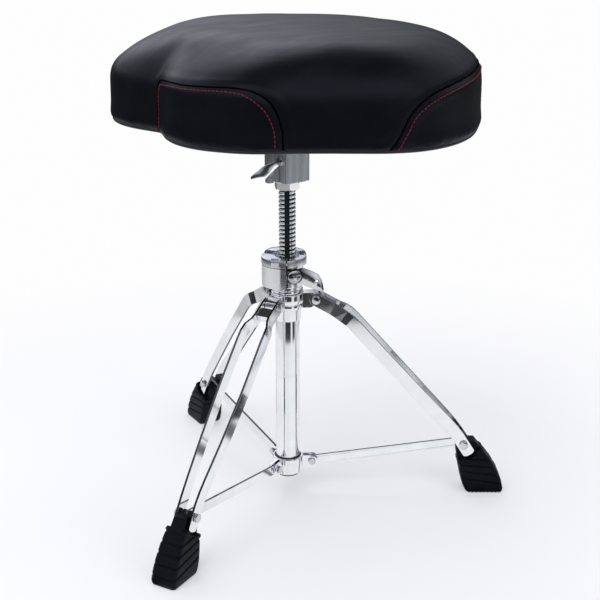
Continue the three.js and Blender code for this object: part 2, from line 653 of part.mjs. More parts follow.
// L-section plate between the strips, just outboard of the pivot
function bridge() {
  const length = Math.hypot(...BRIDGE_RUN);
  const dx = BRIDGE_RUN[0] / length, dz = BRIDGE_RUN[1] / length;
  // corners: [along the run from the pivot, above the run]
  const corners = [[21.4, 3.2], [21.4, -3], [24, -3], [24, 6.4], [11, 6.4], [11, 3.2]];
  return prismY(corners.map(([along, above]) => [
    PIVOT[0] + dx * along - dz * above,
    PIVOT[1] + dz * along + dx * above,
  ]), -7.2, 7.2);
}

function strut() {
  return cut(
    prismY(slot(COLLAR_PIN, FOOT_JOINT, STRUT_W, 7), -STRUT_T / 2, STRUT_T / 2),
    cylY(BOLT_HOLE_R, -5, 5, COLLAR_PIN, 12),
    cylY(BOLT_HOLE_R, -5, 5, FOOT_JOINT, 12),
  );
}

// foot with room for both strips, the bolt and the strut
function rubberFoot() {
  const pockets = [-1, 1].flatMap((side) => {
    const [y0, y1] = side > 0 ? [8.15, 25] : [-25, -8.15];
    return [
      legStrip(side, 0.5, STRIP_T + 0.7),
      prismY(slot([206, 73.4], [219.9, 51.4], STRIP_W + 1.4, 6), y0, y1),
    ];
  });
  return cut(
    loft(FOOT.map(([z, x0, x1, half]) =>
      roundRect(x0, x1, -half, half, 5.5, 2).map(([x, y]) => [x, y, z]))),
    ...pockets,
    cylY(BOLT_R + 0.4, -20, 20, FOOT_JOINT, 12),
    box(180, 220.4, -2.2, 2.2, 52.6, 90),
  );
}

['a', 'b', 'c'].forEach((letter, k) => {
  const leg = new THREE.Group();
  leg.rotation.z = k * LEG_PITCH * D2R;
  stand.add(leg);
  // the pivot bolt and nut are separate stubs, each through one strip with its head outside
  add(leg, `leg_${letter}_strip_right`, 'chrome', boredStrip(-1));
  add(leg, `leg_${letter}_pivot_bolt`, 'steel', join(
    cylY(BOLT_R, -10.9, -7.1, PIVOT, 12),
    cylY(5.0, -13.2, -10.6, PIVOT, 16),
  ));
  add(leg, `leg_${letter}_strip_left`, 'chrome', boredStrip(1));
  add(leg, `leg_${letter}_pivot_nut`, 'steel', join(
    cylY(BOLT_R, 7.1, 10.9, PIVOT, 12),
    cylY(5.6, 10.6, 13.6, PIVOT, 6),
  ));
  add(leg, `leg_${letter}_bridge`, 'chrome', bridge());
  add(leg, `leg_${letter}_foot_bolt`, 'steel', join(
    cylY(BOLT_R, -12.6, 11.8, FOOT_JOINT, 12),
    cylY(5.3, -14.4, -11.6, FOOT_JOINT, 16),
  ));
  add(leg, `leg_${letter}_foot_nut`, 'steel', toSolid(cylY(5.4, 12.1, 14.6, FOOT_JOINT, 6)));
  add(leg, `strut_${letter}`, 'chrome', strut());
  add(leg, `strut_${letter}_pin`, 'steel', join(
    cylY(2.7, -5.4, 5.4, COLLAR_PIN, 10),
    cylY(4.3, -7.4, -5.2, COLLAR_PIN, 12),
    cylY(4.3, 5.2, 7.4, COLLAR_PIN, 12),
  ));
  add(leg, `rubber_foot_${letter}`, 'rubber', rubberFoot());
});

export default throne;
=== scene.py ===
# Drum throne: a padded seat on a threaded rod, a clamped column tube and three folding legs.
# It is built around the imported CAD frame. The world is in metres, +Z up. Parts are modelled
# in millimetres, with z = 0 at the floor, in one of two frames centred on the column:
#   seat frame   world directions; -y is the front of the seat
#   leg frame k  x points out along leg k; frame 0 is also the frame of the column parts
import math
import bpy
import bmesh
import numpy as np
from mathutils import Matrix, Vector
from mathutils.bvhtree import BVHTree
from mathutils.kdtree import KDTree


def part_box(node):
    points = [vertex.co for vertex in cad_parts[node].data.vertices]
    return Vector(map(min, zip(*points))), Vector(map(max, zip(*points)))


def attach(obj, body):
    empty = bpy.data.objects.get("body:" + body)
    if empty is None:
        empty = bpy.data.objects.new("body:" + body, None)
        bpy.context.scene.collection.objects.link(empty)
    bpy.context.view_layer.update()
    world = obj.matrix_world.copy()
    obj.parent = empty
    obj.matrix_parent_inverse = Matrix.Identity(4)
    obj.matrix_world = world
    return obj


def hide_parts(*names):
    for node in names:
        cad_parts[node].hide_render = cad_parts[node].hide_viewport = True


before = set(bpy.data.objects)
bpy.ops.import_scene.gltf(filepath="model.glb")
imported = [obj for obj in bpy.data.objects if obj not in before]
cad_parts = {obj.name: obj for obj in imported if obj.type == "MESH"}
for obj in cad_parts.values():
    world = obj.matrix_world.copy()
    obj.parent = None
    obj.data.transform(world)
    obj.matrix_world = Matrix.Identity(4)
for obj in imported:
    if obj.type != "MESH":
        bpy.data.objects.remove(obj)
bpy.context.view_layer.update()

SCENE = bpy.context.scene
MM = 0.001
LEGS = "abc"


# ------------------------------------------------------------------ frames
def centre(node):
    low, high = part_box(node)
    return (low + high) / 2


def heights(node):
    """Lowest and highest z of a CAD node, in mm."""
    low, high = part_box(node)
    return low.z / MM, high.z / MM


def spin(degrees, axis):
    return Matrix.Rotation(math.radians(degrees), 4, axis)


def move(x, y, z):
    return Matrix.Translation((x, y, z))


AXIS = centre("column_tube")
STRUT_OFFSET = centre("strut_a") - AXIS
TURN = math.atan2(STRUT_OFFSET.y, STRUT_OFFSET.x)
SEAT = move(AXIS.x, AXIS.y, 0) @ Matrix.Scale(MM, 4)


def leg_frame(k):
    turn = Matrix.Rotation(TURN + math.radians(120 * k), 4, "Z")
    return move(AXIS.x, AXIS.y, 0) @ turn @ Matrix.Scale(MM, 4)


COLUMN = leg_frame(0)


# ------------------------------------------------------------------ mesh data: (vertices, faces)
def loft(loops, ring=False):
    """Skin equal loops; the ends are capped, or joined to each other for a ring."""
    count, total = len(loops[0]), len(loops)
    verts = [point for loop in loops for point in loop]
    faces = []
    for k in range(total if ring else total - 1):
        here, there = k * count, ((k + 1) % total) * count
        for i in range(count):
            j = (i + 1) % count
            faces.append((here + i, here + j, there + j, there + i))
    if not ring:
        faces.append(tuple(reversed(range(count))))
        faces.append(tuple((total - 1) * count + i for i in range(count)))
    return verts, faces


def circle(radius, z, count, cx=0.0, cy=0.0):
    turns = [2 * math.pi * i / count for i in range(count)]
    return [(cx + radius * math.cos(t), cy + radius * math.sin(t), z) for t in turns]


def lathe(profile, count, cx=0.0, cy=0.0, ring=True):
    """Turn a profile of (radius, z) about the vertical."""
    return loft([circle(radius, z, count, cx, cy) for radius, z in profile], ring)


def rounded(profile, radius, segments):
    """Round the corners of a closed profile."""
    points = [np.array(point, float) for point in profile]
    out = []
    for i, corner in enumerate(points):
        back, ahead = points[i - 1] - corner, points[(i + 1) % len(points)] - corner
        back_length, ahead_length = np.linalg.norm(back), np.linalg.norm(ahead)
        reach = min(radius, back_length * 0.45, ahead_length * 0.45)
        start = corner + back / back_length * reach
        end = corner + ahead / ahead_length * reach
        for k in range(segments + 1):
            t = k / segments
            out.append(tuple((1 - t) ** 2 * start + 2 * t * (1 - t) * corner + t * t * end))
    return out


def prism(outline, low, high, axis="z"):
    """Push an x-y outline along z, or an x-z outline along y."""
    if axis == "z":
        return loft([[(x, y, z) for x, y in outline] for z in (low, high)])
    return loft([[(x, y, z) for x, z in outline] for y in (low, high)])


def round_rect(x0, x1, y0, y1, radius, segments=5):
    out = []
    for cx, cy, start in ((x1 - radius, y0 + radius, -90), (x1 - radius, y1 - radius, 0),
                          (x0 + radius, y1 - radius, 90), (x0 + radius, y0 + radius, 180)):
        for i in range(segments + 1):
            t = math.radians(start + 90 * i / segments)
            out.append((cx + radius * math.cos(t), cy + radius * math.sin(t)))
    return out


def cord(points, radius, sides, closed=False):
    """Round cord along a path."""
    path = np.array(points, float)
    total = len(path)
    loops = []
    side = None
    for i in range(total):
        before = path[(i - 1) % total] if closed or i > 0 else path[i]
        after = path[(i + 1) % total] if closed or i < total - 1 else path[i]
        along = (after - before) / (np.linalg.norm(after - before) + 1e-12)
        if side is None:
            guide = np.array([0, 0, 1.0]) if abs(along[2]) < 0.9 else np.array([1.0, 0, 0])
            side = np.cross(along, guide)
        else:
            side = side - along * side.dot(along)
        side /= np.linalg.norm(side)
        other = np.cross(along, side)
        turns = [2 * math.pi * k / sides for k in range(sides)]
        loops.append([tuple(path[i] + radius * (math.cos(t) * side + math.sin(t) * other))
                      for t in turns])
    return loft(loops, closed)


def merged(parts):
    verts, faces = [], []
    for part_verts, part_faces in parts:
        base = len(verts)
        verts.extend(part_verts)
        faces.extend([tuple(base + i for i in face) for face in part_faces])
    return verts, faces


# ------------------------------------------------------------------ objects
def solid(name, geometry, matrix=None, smooth=True):
    """Object from mesh data, with doubles merged and normals facing out."""
    verts, faces = geometry
    mesh = bpy.data.meshes.new(name)
    mesh.from_pydata([tuple(map(float, v)) for v in verts], [],
                     [tuple(int(i) for i in face) for face in faces])
    if matrix is not None:
        mesh.transform(matrix)
    mesh.validate()
    mesh.update()
    mesh.polygons.foreach_set("use_smooth", [smooth] * len(mesh.polygons))
    ob = bpy.data.objects.new(name, mesh)
    SCENE.collection.objects.link(ob)
    bm = bmesh.new()
    bm.from_mesh(mesh)
    bmesh.ops.remove_doubles(bm, verts=bm.verts, dist=1e-7)
    bmesh.ops.recalc_face_normals(bm, faces=bm.faces)
    bm.to_mesh(mesh)
    bm.free()
    mesh.update()
    return ob


def cylinder(radius, low, high, matrix=None, count=96, cx=0.0, cy=0.0):
    profile = [(radius, low), (radius, high)]
    return solid("tool", lathe(profile, count, cx, cy, ring=False), matrix)


def block(x0, x1, y0, y1, z0, z1):
    return solid("tool", prism([(x0, y0), (x1, y0), (x1, y1), (x0, y1)], z0, z1))


def bake(ob):
    """Apply the modifiers."""
    depsgraph = bpy.context.evaluated_depsgraph_get()
    depsgraph.update()
    mesh = bpy.data.meshes.new_from_object(ob.evaluated_get(depsgraph))
    ob.modifiers.clear()
    ob.data = mesh


def boolean(ob, tool, operation="DIFFERENCE"):
    """Cut, join or intersect with a tool, which is used up."""
    modifier = ob.modifiers.new("b", "BOOLEAN")
    modifier.operation = operation
    modifier.solver = "EXACT"
    modifier.object = tool
    bake(ob)
    bpy.data.objects.remove(tool, do_unlink=True)


def crease(ob, angle):
    """Smooth shading, with edges sharper than the angle left hard."""
    bm = bmesh.new()
    bm.from_mesh(ob.data)
    limit = math.radians(angle)
    for face in bm.faces:
        face.smooth = True
    for edge in bm.edges:
        if len(edge.link_faces) == 2:
            edge.smooth = edge.calc_face_angle(0) < limit
    bm.to_mesh(ob.data)
    bm.free()


def bevel(ob, width, segments=2, angle=30):
    modifier = ob.modifiers.new("bevel", "BEVEL")
    modifier.width = width * MM
    modifier.segments = segments
    modifier.limit_method = "ANGLE"
    modifier.angle_limit = math.radians(angle)
    modifier.use_clamp_overlap = True
    modifier.harden_normals = True
    modifier.miter_outer = "MITER_ARC"


def paint(ob, material):
    ob.data.materials.clear()
    ob.data.materials.append(material)


def piece(ob, body, slot, material, *nodes):
    """Paint a part and hand it to the frame; it stands in for the CAD nodes named."""
    paint(ob, material)
    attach(ob, body)
    if nodes:
        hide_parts(*nodes)


# ------------------------------------------------------------------ shader nodes
def feed(tree, target, inputs):
    """Link or set inputs by name or index; colours are given as three numbers."""
    for key, value in inputs.items():
        socket = target.inputs[key]
        if isinstance(value, bpy.types.NodeSocket):
            tree.links.new(value, socket)
        elif socket.type == "RGBA":
            socket.default_value = (*value, 1)
        else:
            socket.default_value = value


def node(tree, kind, inputs=None, **settings):
    made = tree.nodes.new("ShaderNode" + kind)
    for key, value in settings.items():
        setattr(made, key, value)
    feed(tree, made, inputs or {})
    return made


def new_material(name):
    material = bpy.data.materials.new(name)
    material.use_nodes = True
    tree = material.node_tree
    tree.nodes.clear()
    output = node(tree, "OutputMaterial")
    surface = node(tree, "BsdfPrincipled")
    tree.links.new(surface.outputs[0], output.inputs[0])
    return material, tree, surface


def coords(tree, stretch=(1, 1, 1)):
    source = node(tree, "TexCoord").outputs["Object"]
    return node(tree, "Mapping", {"Scale": stretch, 0: source}).outputs[0]


def noise(tree, vector, scale, detail):
    inputs = {"Scale": scale, "Detail": detail, "Roughness": 0.55, "Vector": vector}
    return node(tree, "TexNoise", inputs).outputs["Fac"]


def ramp(tree, factor, stops):
    """Colour ramp; each stop is a position with a colour or a grey level."""
    made = node(tree, "ValToRGB", {0: factor})
    elements = made.color_ramp.elements
    while len(elements) > 1:
        elements.remove(elements[-1])
    for i, (position, colour) in enumerate(stops):
        element = elements.new(position) if i else elements[0]
        element.position = position
        rgb = colour if isinstance(colour, tuple) else (colour,) * 3
        element.color = (*rgb, 1)
    return made.outputs[0]


def two_tone(tree, factor, dark, light):
    """Colours at the ends of the usual span of a noise."""
    return ramp(tree, factor, [(0.3, dark), (0.7, light)])


def remap(tree, value, to, source=(0.3, 0.7)):
    return node(tree, "MapRange", {0: value, 1: source[0], 2: source[1],
                                   3: to[0], 4: to[1]}).outputs[0]


def calc(tree, operation, *values):
    return node(tree, "Math", dict(enumerate(values)), operation=operation).outputs[0]


def vector_calc(tree, operation, inputs):
    return node(tree, "VectorMath", inputs, operation=operation).outputs


def mix(tree, factor, first, second, mode="MIX"):
    return node(tree, "Mix", {0: factor, 6: first, 7: second},
                data_type="RGBA", blend_type=mode).outputs[2]


def mix_shader(tree, factor, first, second):
    inputs = {0: factor, 1: first.outputs[0], 2: second.outputs[0]}
    return node(tree, "MixShader", inputs)


def bump(tree, surface, height, strength, distance, over=None):
    """Bump on the surface, laid over an earlier one if given."""
    inputs = {"Strength": strength, "Distance": distance, "Height": height}
    if over is not None:
        inputs["Normal"] = over
    made = node(tree, "Bump", inputs).outputs[0]
    tree.links.new(made, surface.inputs["Normal"])
    return made


# ------------------------------------------------------------------ materials
def metal(name, dark, light, rough, scale, stretch=(1, 1, 1), bump_strength=0.02,
          bump_distance=0.0002, fine=900):
    """Metal with a cloudy tone of the given noise scale and a fine grain."""
    material, tree, surface = new_material(name)
    vector = coords(tree, stretch)
    cloud = noise(tree, vector, scale, detail=5)
    grain = noise(tree, vector, fine, detail=3)
    feed(tree, surface, {"Base Color": two_tone(tree, cloud, dark, light),
                         "Roughness": remap(tree, cloud, to=rough), "Metallic": 1.0})
    bump(tree, surface, grain, bump_strength, bump_distance)
    return material


def thread_steel():
    """Painted highlight on the crests and painted shade in the valleys and keyway, told apart by
    distance from the axis.
    """
    material, tree, surface = new_material("thread_steel")
    place = node(tree, "TexCoord").outputs["Object"]
    offset = vector_calc(tree, "SUBTRACT", {0: place, 1: (AXIS.x, AXIS.y, 0)})[0]
    flat = vector_calc(tree, "MULTIPLY", {0: offset, 1: (1000, 1000, 0)})[0]
    radius = vector_calc(tree, "LENGTH", {0: flat})["Value"]
    wobble = noise(tree, place, scale=500, detail=4)
    radius = calc(tree, "ADD", radius, remap(tree, wobble, to=(-0.12, 0.12)))
    crest = remap(tree, radius, source=(8.4, 9.8), to=(0.0, 1.0))
    # painted shade in the valleys and keyway, painted highlight on the crests
    tones = [(0.0, (0.012, 0.014, 0.015)), (0.42, (0.05, 0.06, 0.062)),
             (0.62, (0.42, 0.46, 0.46)), (0.95, (0.86, 0.88, 0.88))]
    feed(tree, surface, {
        "Base Color": ramp(tree, crest, tones),
        "Roughness": remap(tree, crest, source=(0.3, 0.9), to=(0.42, 0.16)),
        "Metallic": remap(tree, crest, source=(0.0, 0.5), to=(0.3, 1.0))})
    bump(tree, surface, wobble, strength=0.08, distance=0.0002)
    return material


def strip_chrome(name, k):
    """Plated faces on the strips of leg k, with a dark painted reflection on their thin edges."""
    material, tree, surface = new_material(name)
    angle = TURN + math.radians(120 * k)
    normal = node(tree, "NewGeometry").outputs["True Normal"]
    sideways = vector_calc(tree, "DOT_PRODUCT",
                           {0: normal, 1: (-math.sin(angle), math.cos(angle), 0)})["Value"]
    face = remap(tree, calc(tree, "ABSOLUTE", sideways), source=(0.5, 0.72), to=(0.0, 1.0))
    cloud = noise(tree, coords(tree), scale=45, detail=5)
    plate = two_tone(tree, cloud, dark=(0.80, 0.815, 0.835), light=(0.89, 0.90, 0.915))
    # painted reflection: the thin edges are coloured dark
    edge = (0.085, 0.092, 0.098)
    feed(tree, surface, {"Base Color": mix(tree, face, edge, plate),
                         "Roughness": remap(tree, cloud, to=(0.06, 0.12)), "Metallic": 1.0})
    grain = noise(tree, coords(tree), scale=900, detail=3)
    bump(tree, surface, grain, strength=0.012, distance=0.0002)
    return material


def rubber():
    material, tree, surface = new_material("foot_rubber")
    vector = coords(tree)
    cloud = noise(tree, vector, scale=55, detail=5)
    grain = noise(tree, vector, scale=2200, detail=4)
    tones = [(0.3, (0.0008, 0.0011, 0.0019)), (0.72, (0.0024, 0.0029, 0.0044))]
    feed(tree, surface, {"Base Color": ramp(tree, cloud, tones),
                         "Roughness": remap(tree, grain, to=(0.46, 0.62)),
                         "Specular IOR Level": 0.155, "Specular Tint": (0.80, 0.90, 1.0)})
    bump(tree, surface, grain, strength=0.25, distance=0.00018)
    return material


def vinyl():
    """Pebbled sheet with soft clouds, painted shade in the hollows between the pebbles, and
    streaks in its gloss.
    """
    material, tree, surface = new_material("seat_vinyl")
    vector = coords(tree)
    cells = node(tree, "TexVoronoi", {"Scale": 900, "Vector": vector},
                 feature="DISTANCE_TO_EDGE").outputs["Distance"]
    pebble = remap(tree, cells, source=(0.0, 0.22), to=(0.0, 1.0))
    fine = noise(tree, vector, scale=1500, detail=4)
    cloud = noise(tree, coords(tree, (1.0, 0.45, 1.0)), scale=9, detail=5)
    streak = noise(tree, coords(tree, (1.0, 0.22, 1.0)), scale=60, detail=4)
    base = two_tone(tree, cloud, dark=(0.0030, 0.0034, 0.0052), light=(0.0050, 0.0056, 0.0082))
    # painted shade in the hollows between the pebbles
    hollow_shade = (0.0022, 0.0026, 0.0040)
    feed(tree, surface, {
        "Base Color": mix(tree, pebble, hollow_shade, base),
        "Roughness": calc(tree, "ADD", remap(tree, cloud, to=(0.0, 0.07)),
                          remap(tree, streak, to=(0.27, 0.37))),
        "Specular IOR Level": 0.185, "Specular Tint": (0.84, 0.86, 1.0)})
    relief = bump(tree, surface, pebble, strength=0.10, distance=0.0002)
    relief = bump(tree, surface, fine, strength=0.06, distance=0.0002, over=relief)
    bump(tree, surface, streak, strength=0.09, distance=0.0008, over=relief)
    return material


def wood():
    material, tree, surface = new_material("plywood")
    grain = noise(tree, coords(tree, (1.0, 0.12, 1.0)), scale=70, detail=6)
    tones = [(0.3, (0.008, 0.0075, 0.007)), (0.55, (0.016, 0.015, 0.014)),
             (0.75, (0.028, 0.026, 0.024))]
    feed(tree, surface, {"Base Color": ramp(tree, grain, tones), "Roughness": 0.62})
    bump(tree, surface, grain, strength=0.2, distance=0.0004)
    return material


def foam():
    material, tree, surface = new_material("seat_foam")
    grain = noise(tree, coords(tree), scale=1200, detail=5)
    tone = two_tone(tree, grain, dark=(0.42, 0.37, 0.22), light=(0.60, 0.55, 0.38))
    feed(tree, surface, {"Base Color": tone, "Roughness": 0.95})
    bump(tree, surface, grain, strength=0.5, distance=0.0006)
    return material


def plastic(name, dark, light, rough=(0.35, 0.5), specular=0.5):
    material, tree, surface = new_material(name)
    grain = noise(tree, coords(tree), scale=900, detail=3)
    feed(tree, surface, {"Base Color": two_tone(tree, grain, dark, light),
                         "Roughness": remap(tree, grain, to=rough),
                         "Specular IOR Level": specular})
    bump(tree, surface, grain, strength=0.15, distance=0.0001)
    return material


def stitch_thread():
    material, tree, surface = new_material("stitch_thread")
    twist = node(tree, "TexWave", {"Scale": 900, "Distortion": 2.0,
                                   "Vector": coords(tree)}).outputs["Fac"]
    tones = [(0.1, (0.09, 0.003, 0.012)), (0.9, (0.20, 0.008, 0.026))]
    feed(tree, surface, {"Base Color": ramp(tree, twist, tones), "Roughness": 0.7})
    bump(tree, surface, twist, strength=0.4, distance=0.0002)
    return material


CHROME = metal("chrome_plate", dark=(0.80, 0.81, 0.83), light=(0.90, 0.91, 0.92),
               rough=(0.06, 0.11), scale=40, bump_strength=0.012)
CHROME_SATIN = metal("chrome_satin", dark=(0.84, 0.85, 0.87), light=(0.93, 0.935, 0.94),
                     rough=(0.16, 0.26), scale=70, bump_strength=0.04, fine=1400)
RING_SATIN = metal("ring_satin", dark=(0.72, 0.74, 0.765), light=(0.87, 0.885, 0.90),
                   rough=(0.22, 0.32), scale=70, bump_strength=0.05, fine=1400)
# painted shade: the hardware is given a darker tone than the chrome, for the shadow round the
# bolt heads
HARDWARE = metal("bright_hardware", dark=(0.50, 0.51, 0.53), light=(0.70, 0.71, 0.73),
                 rough=(0.10, 0.20), scale=120, bump_strength=0.03)
CAST = metal("cast_alloy", dark=(0.36, 0.39, 0.42), light=(0.72, 0.75, 0.775),
             rough=(0.24, 0.36), scale=150, stretch=(1, 1, 0.05), bump_strength=0.30,
             bump_distance=0.0004, fine=700)
ROD = metal("rod_steel", dark=(0.42, 0.44, 0.455), light=(0.66, 0.68, 0.70),
            rough=(0.18, 0.30), scale=150, bump_strength=0.08)
# darker copy of the cast alloy: painted shade for the screw that sits in shadow under the lever
CAST_SHADED = metal("cast_shaded", dark=(0.16, 0.175, 0.19), light=(0.34, 0.36, 0.38),
                  rough=(0.22, 0.34), scale=90, bump_strength=0.12,
                  bump_distance=0.0004, fine=700)
CAST_LIGHT = metal("cast_light", dark=(0.48, 0.50, 0.52), light=(0.74, 0.76, 0.78),
                   rough=(0.16, 0.26), scale=120, bump_strength=0.10,
                   bump_distance=0.0003, fine=700)
THREAD_STEEL = thread_steel()
# brass height nut painted dark: painted shade
SHADED_BUSH = metal("shaded_bush", dark=(0.045, 0.042, 0.038), light=(0.09, 0.085, 0.075),
             rough=(0.3, 0.42), scale=90, bump_strength=0.05)
STRIP = {leg: strip_chrome("strip_chrome_" + leg, k) for k, leg in enumerate(LEGS)}
RUBBER = rubber()
VINYL = vinyl()
WOOD = wood()
FOAM = foam()
BLACK = plastic("black_plastic", dark=(0.010, 0.010, 0.012), light=(0.022, 0.022, 0.026))
PIPING = plastic("edge_piping", dark=(0.006, 0.006, 0.008), light=(0.013, 0.013, 0.017),
                 rough=(0.28, 0.4))
SEAM_SHADOW = plastic("seam_shadow", dark=(0.0004, 0.0004, 0.0005),
                      light=(0.0009, 0.0009, 0.0012), rough=(0.85, 0.95), specular=0.02)
STITCH_THREAD = stitch_thread()


# ------------------------------------------------------------------ CAD nodes
# part of the node's name, material, bevel width; the first match is used
CAD_RULES = [
    ("seat_board", WOOD, 0.4), ("seat_foam", FOAM, 0.0), ("seat_cover", VINYL, 0.0),
    ("rubber_foot", RUBBER, 0.6), ("tube_end_plug", BLACK, 0.3), ("collar_bush", BLACK, 0.0),
    ("height_nut", SHADED_BUSH, 0.3), ("threaded_rod", ROD, 0.0), ("seat_bracket", CAST, 0.7),
    ("seat_clamp_bolt", CAST_SHADED, 0.3), ("nut_housing", CHROME_SATIN, 0.5),
    ("lock_ring_screw", HARDWARE, 0.2), ("lock_ring_key", ROD, 0.2),
    ("lock_ring", CHROME_SATIN, 0.5), ("rod_lock_nut", CHROME, 0.6),
    ("rod_washer", HARDWARE, 0.2), ("bracket_screw", HARDWARE, 0.3),
    ("clamp_screw", HARDWARE, 0.2), ("hub_set_screw", ROD, 0.2), ("pivot", HARDWARE, 0.5),
    ("foot_bolt", HARDWARE, 0.6), ("foot_nut", HARDWARE, 0.5), ("_pin", HARDWARE, 0.5),
    ("strip", CHROME, 0.35), ("bridge", CHROME, 0.3), ("", CHROME, 0.4)]
PRESSED = ("strip", "bridge", "strut")      # flat-shaded sheet parts


def finish_cad():
    for name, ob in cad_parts.items():
        material, width = next((m, w) for key, m, w in CAD_RULES if key in name)
        if "strip" in name or name.startswith("strut_") and "pin" not in name:
            material = STRIP[next(word for word in name.split("_") if word in STRIP)]
        paint(ob, material)
        weld = ob.modifiers.new("weld", "WELD")
        weld.merge_threshold = 1e-6
        if width:
            bevel(ob, width, angle=28)
        smooth = not any(key in name for key in PRESSED)
        ob.data.polygons.foreach_set("use_smooth", [smooth] * len(ob.data.polygons))


# ------------------------------------------------------------------ seat (seat frame)
SEAT_BASE = heights("seat_cover")[0]
SEAT_TOP = SEAT_BASE + 101.2
SHOULDER = 50           # height of the rounded edge below the top
# half of the outline from rear to front: across, forwards
HALF_OUTLINE = [
    (0, -212), (70, -199), (132, -169), (175, -130), (206, -91), (223.5, -50.5), (226.5, -12),
    (217, 19), (201, 45), (184, 70), (169.5, 94), (157.5, 116), (144, 136.5), (124, 154.5),
    (98, 169), (67, 175), (38, 172), (12.5, 164), (0, 160.5)]
# turned-in bottom edge: shift inwards, height above the base
HEM = [(5.0, 0.3), (2.2, 1.2), (0.6, 3.4), (0, 6.5)]
CROWN = (0.86, 0.72, 0.58, 0.44, 0.3, 0.16, 0.05)       # shrink of each loop on top
# swells in the notch, behind it and on the flanks: height, across and its spread,
# forwards and its spread, depth below the top where it starts and the depth it grows over
SWELLS = [
    (7.5, 0, 38, 124, 25, 46, 16),
    (2.2, 0, 40, 84, 22, 30, 16),
    (4.6, 158, 32, 66, 36, 36, 14)]


def on_seat(points):
    """Table of (across, forwards, height) with the seat's base at 458.8, as seat points."""
    return [(x, -forward, z + SEAT_BASE - 458.8) for x, forward, z in points]


def mirrored(line):
    return [(-x, y, z) for x, y, z in line]


def both_sides(line):
    """A line that ends on the centre plane, carried on down the other side."""
    return line + mirrored(line)[::-1][1:]


# front seams and stitch rows; the far one starts on the outer shoulder of its lobe
LOBE_SEAM = on_seat([
    (0.5, 162, 460), (0.5, 162, 480), (0.8, 162, 500), (3.5, 162.5, 511), (12, 165, 517),
    (38, 172, 520.5), (78, 172, 522), (108, 161, 523), (133, 143, 523), (148, 128, 518),
    (158, 115.5, 504.5), (162, 108, 482), (162.5, 107, 461)])
LOBE_STITCH = on_seat([
    (5.2, 162.5, 461), (5.2, 162.5, 480), (5.4, 162.5, 497), (8.5, 164, 507.5),
    (18, 167, 512.5), (44, 172, 515.5), (78, 172, 517), (104, 163, 517.6), (128, 147, 517.6),
    (141.5, 134.5, 513.5), (152, 122, 501), (157, 114.5, 482), (157.6, 113.5, 462)])
FAR_SEAM = on_seat([
    (-112, 162, 460.5), (-113, 161.5, 480), (-115, 160.5, 500), (-120, 157, 513),
    (-132, 145, 520), (-148, 128, 518), (-158, 115.5, 504.5), (-162, 108, 482),
    (-162.5, 107, 461)])
FAR_STITCH = on_seat([
    (-118, 158.5, 461), (-119, 158, 480), (-121, 156.5, 498), (-127, 150, 509),
    (-136, 140, 513.5), (-142, 134, 513), (-152, 122, 501), (-157, 114.5, 482),
    (-157.6, 113.5, 462)])
# halves of the seam and stitch row that run round the rear
REAR_SEAM = on_seat([
    (216.5, 19, 460.5), (221.5, 10, 475.8), (225, -2, 498), (225.5, -27, 514),
    (207, -80.7, 523), (175, -125, 526), (128, -166, 527.5), (68, -196, 528), (0, -208, 528)])
REAR_STITCH = on_seat([
    (220, 12, 460.5), (223.5, 3, 478), (226, -9, 496.5), (225, -34, 509), (209, -80.5, 517),
    (177, -126, 520), (130, -167.5, 521.5), (69, -198, 522), (0, -210, 522)])

STITCH_PERIOD, STITCH_SPAN = 8, 5       # path samples per stitch and gap, and per stitch
# arc of one stitch: share of its length, lift off the vinyl
STITCH_ARC = [(0, -0.45), (0.12, 0.28), (0.5, 0.42), (0.88, 0.28), (1, -0.45)]


def sampled(points, step=None, count=None):
    """Points at equal distances along a path: a fixed step, or a count without the end."""
    strides = np.linalg.norm(np.diff(points, axis=0), axis=1)
    lengths = np.r_[0, np.cumsum(strides)]
    if count:
        places = np.linspace(0, lengths[-1], count, endpoint=False)
    else:
        places = np.arange(0, lengths[-1], step)
    return np.column_stack([np.interp(places, lengths, column) for column in points.T])


def between(first, second, start, end, t):
    return (end - t) / (end - start) * first + (t - start) / (end - start) * second


def plan_curve(count):
    """Closed centripetal spline through the outline."""
    right = [(x, -forward) for x, forward in HALF_OUTLINE]
    left = [(-x, -forward) for x, forward in HALF_OUTLINE[1:-1][::-1]]
    points = np.array(right + left, float)
    out = []
    for i in range(len(points)):
        near = [points[(i + k) % len(points)] for k in (-1, 0, 1, 2)]
        knots = [0.0]
        for k in range(3):
            knots.append(knots[-1] + np.linalg.norm(near[k + 1] - near[k]) ** 0.5)
        for t in np.linspace(knots[1], knots[2], 40, endpoint=False):
            lines = [between(near[k], near[k + 1], knots[k], knots[k + 1], t)
                     for k in range(3)]
            bends = [between(lines[k], lines[k + 1], knots[k], knots[k + 2], t)
                     for k in range(2)]
            out.append(between(bends[0], bends[1], knots[1], knots[2], t))
    return sampled(np.array(out + out[:1]), count=count)


def plan_and_inward(count):
    """Outline, clockwise from above, and its unit normals pointing inwards."""
    outline = plan_curve(count)
    along = np.roll(outline, -1, 0) - np.roll(outline, 1, 0)
    along /= np.linalg.norm(along, axis=1)[:, None]
    return outline, np.column_stack([along[:, 1], -along[:, 0]])


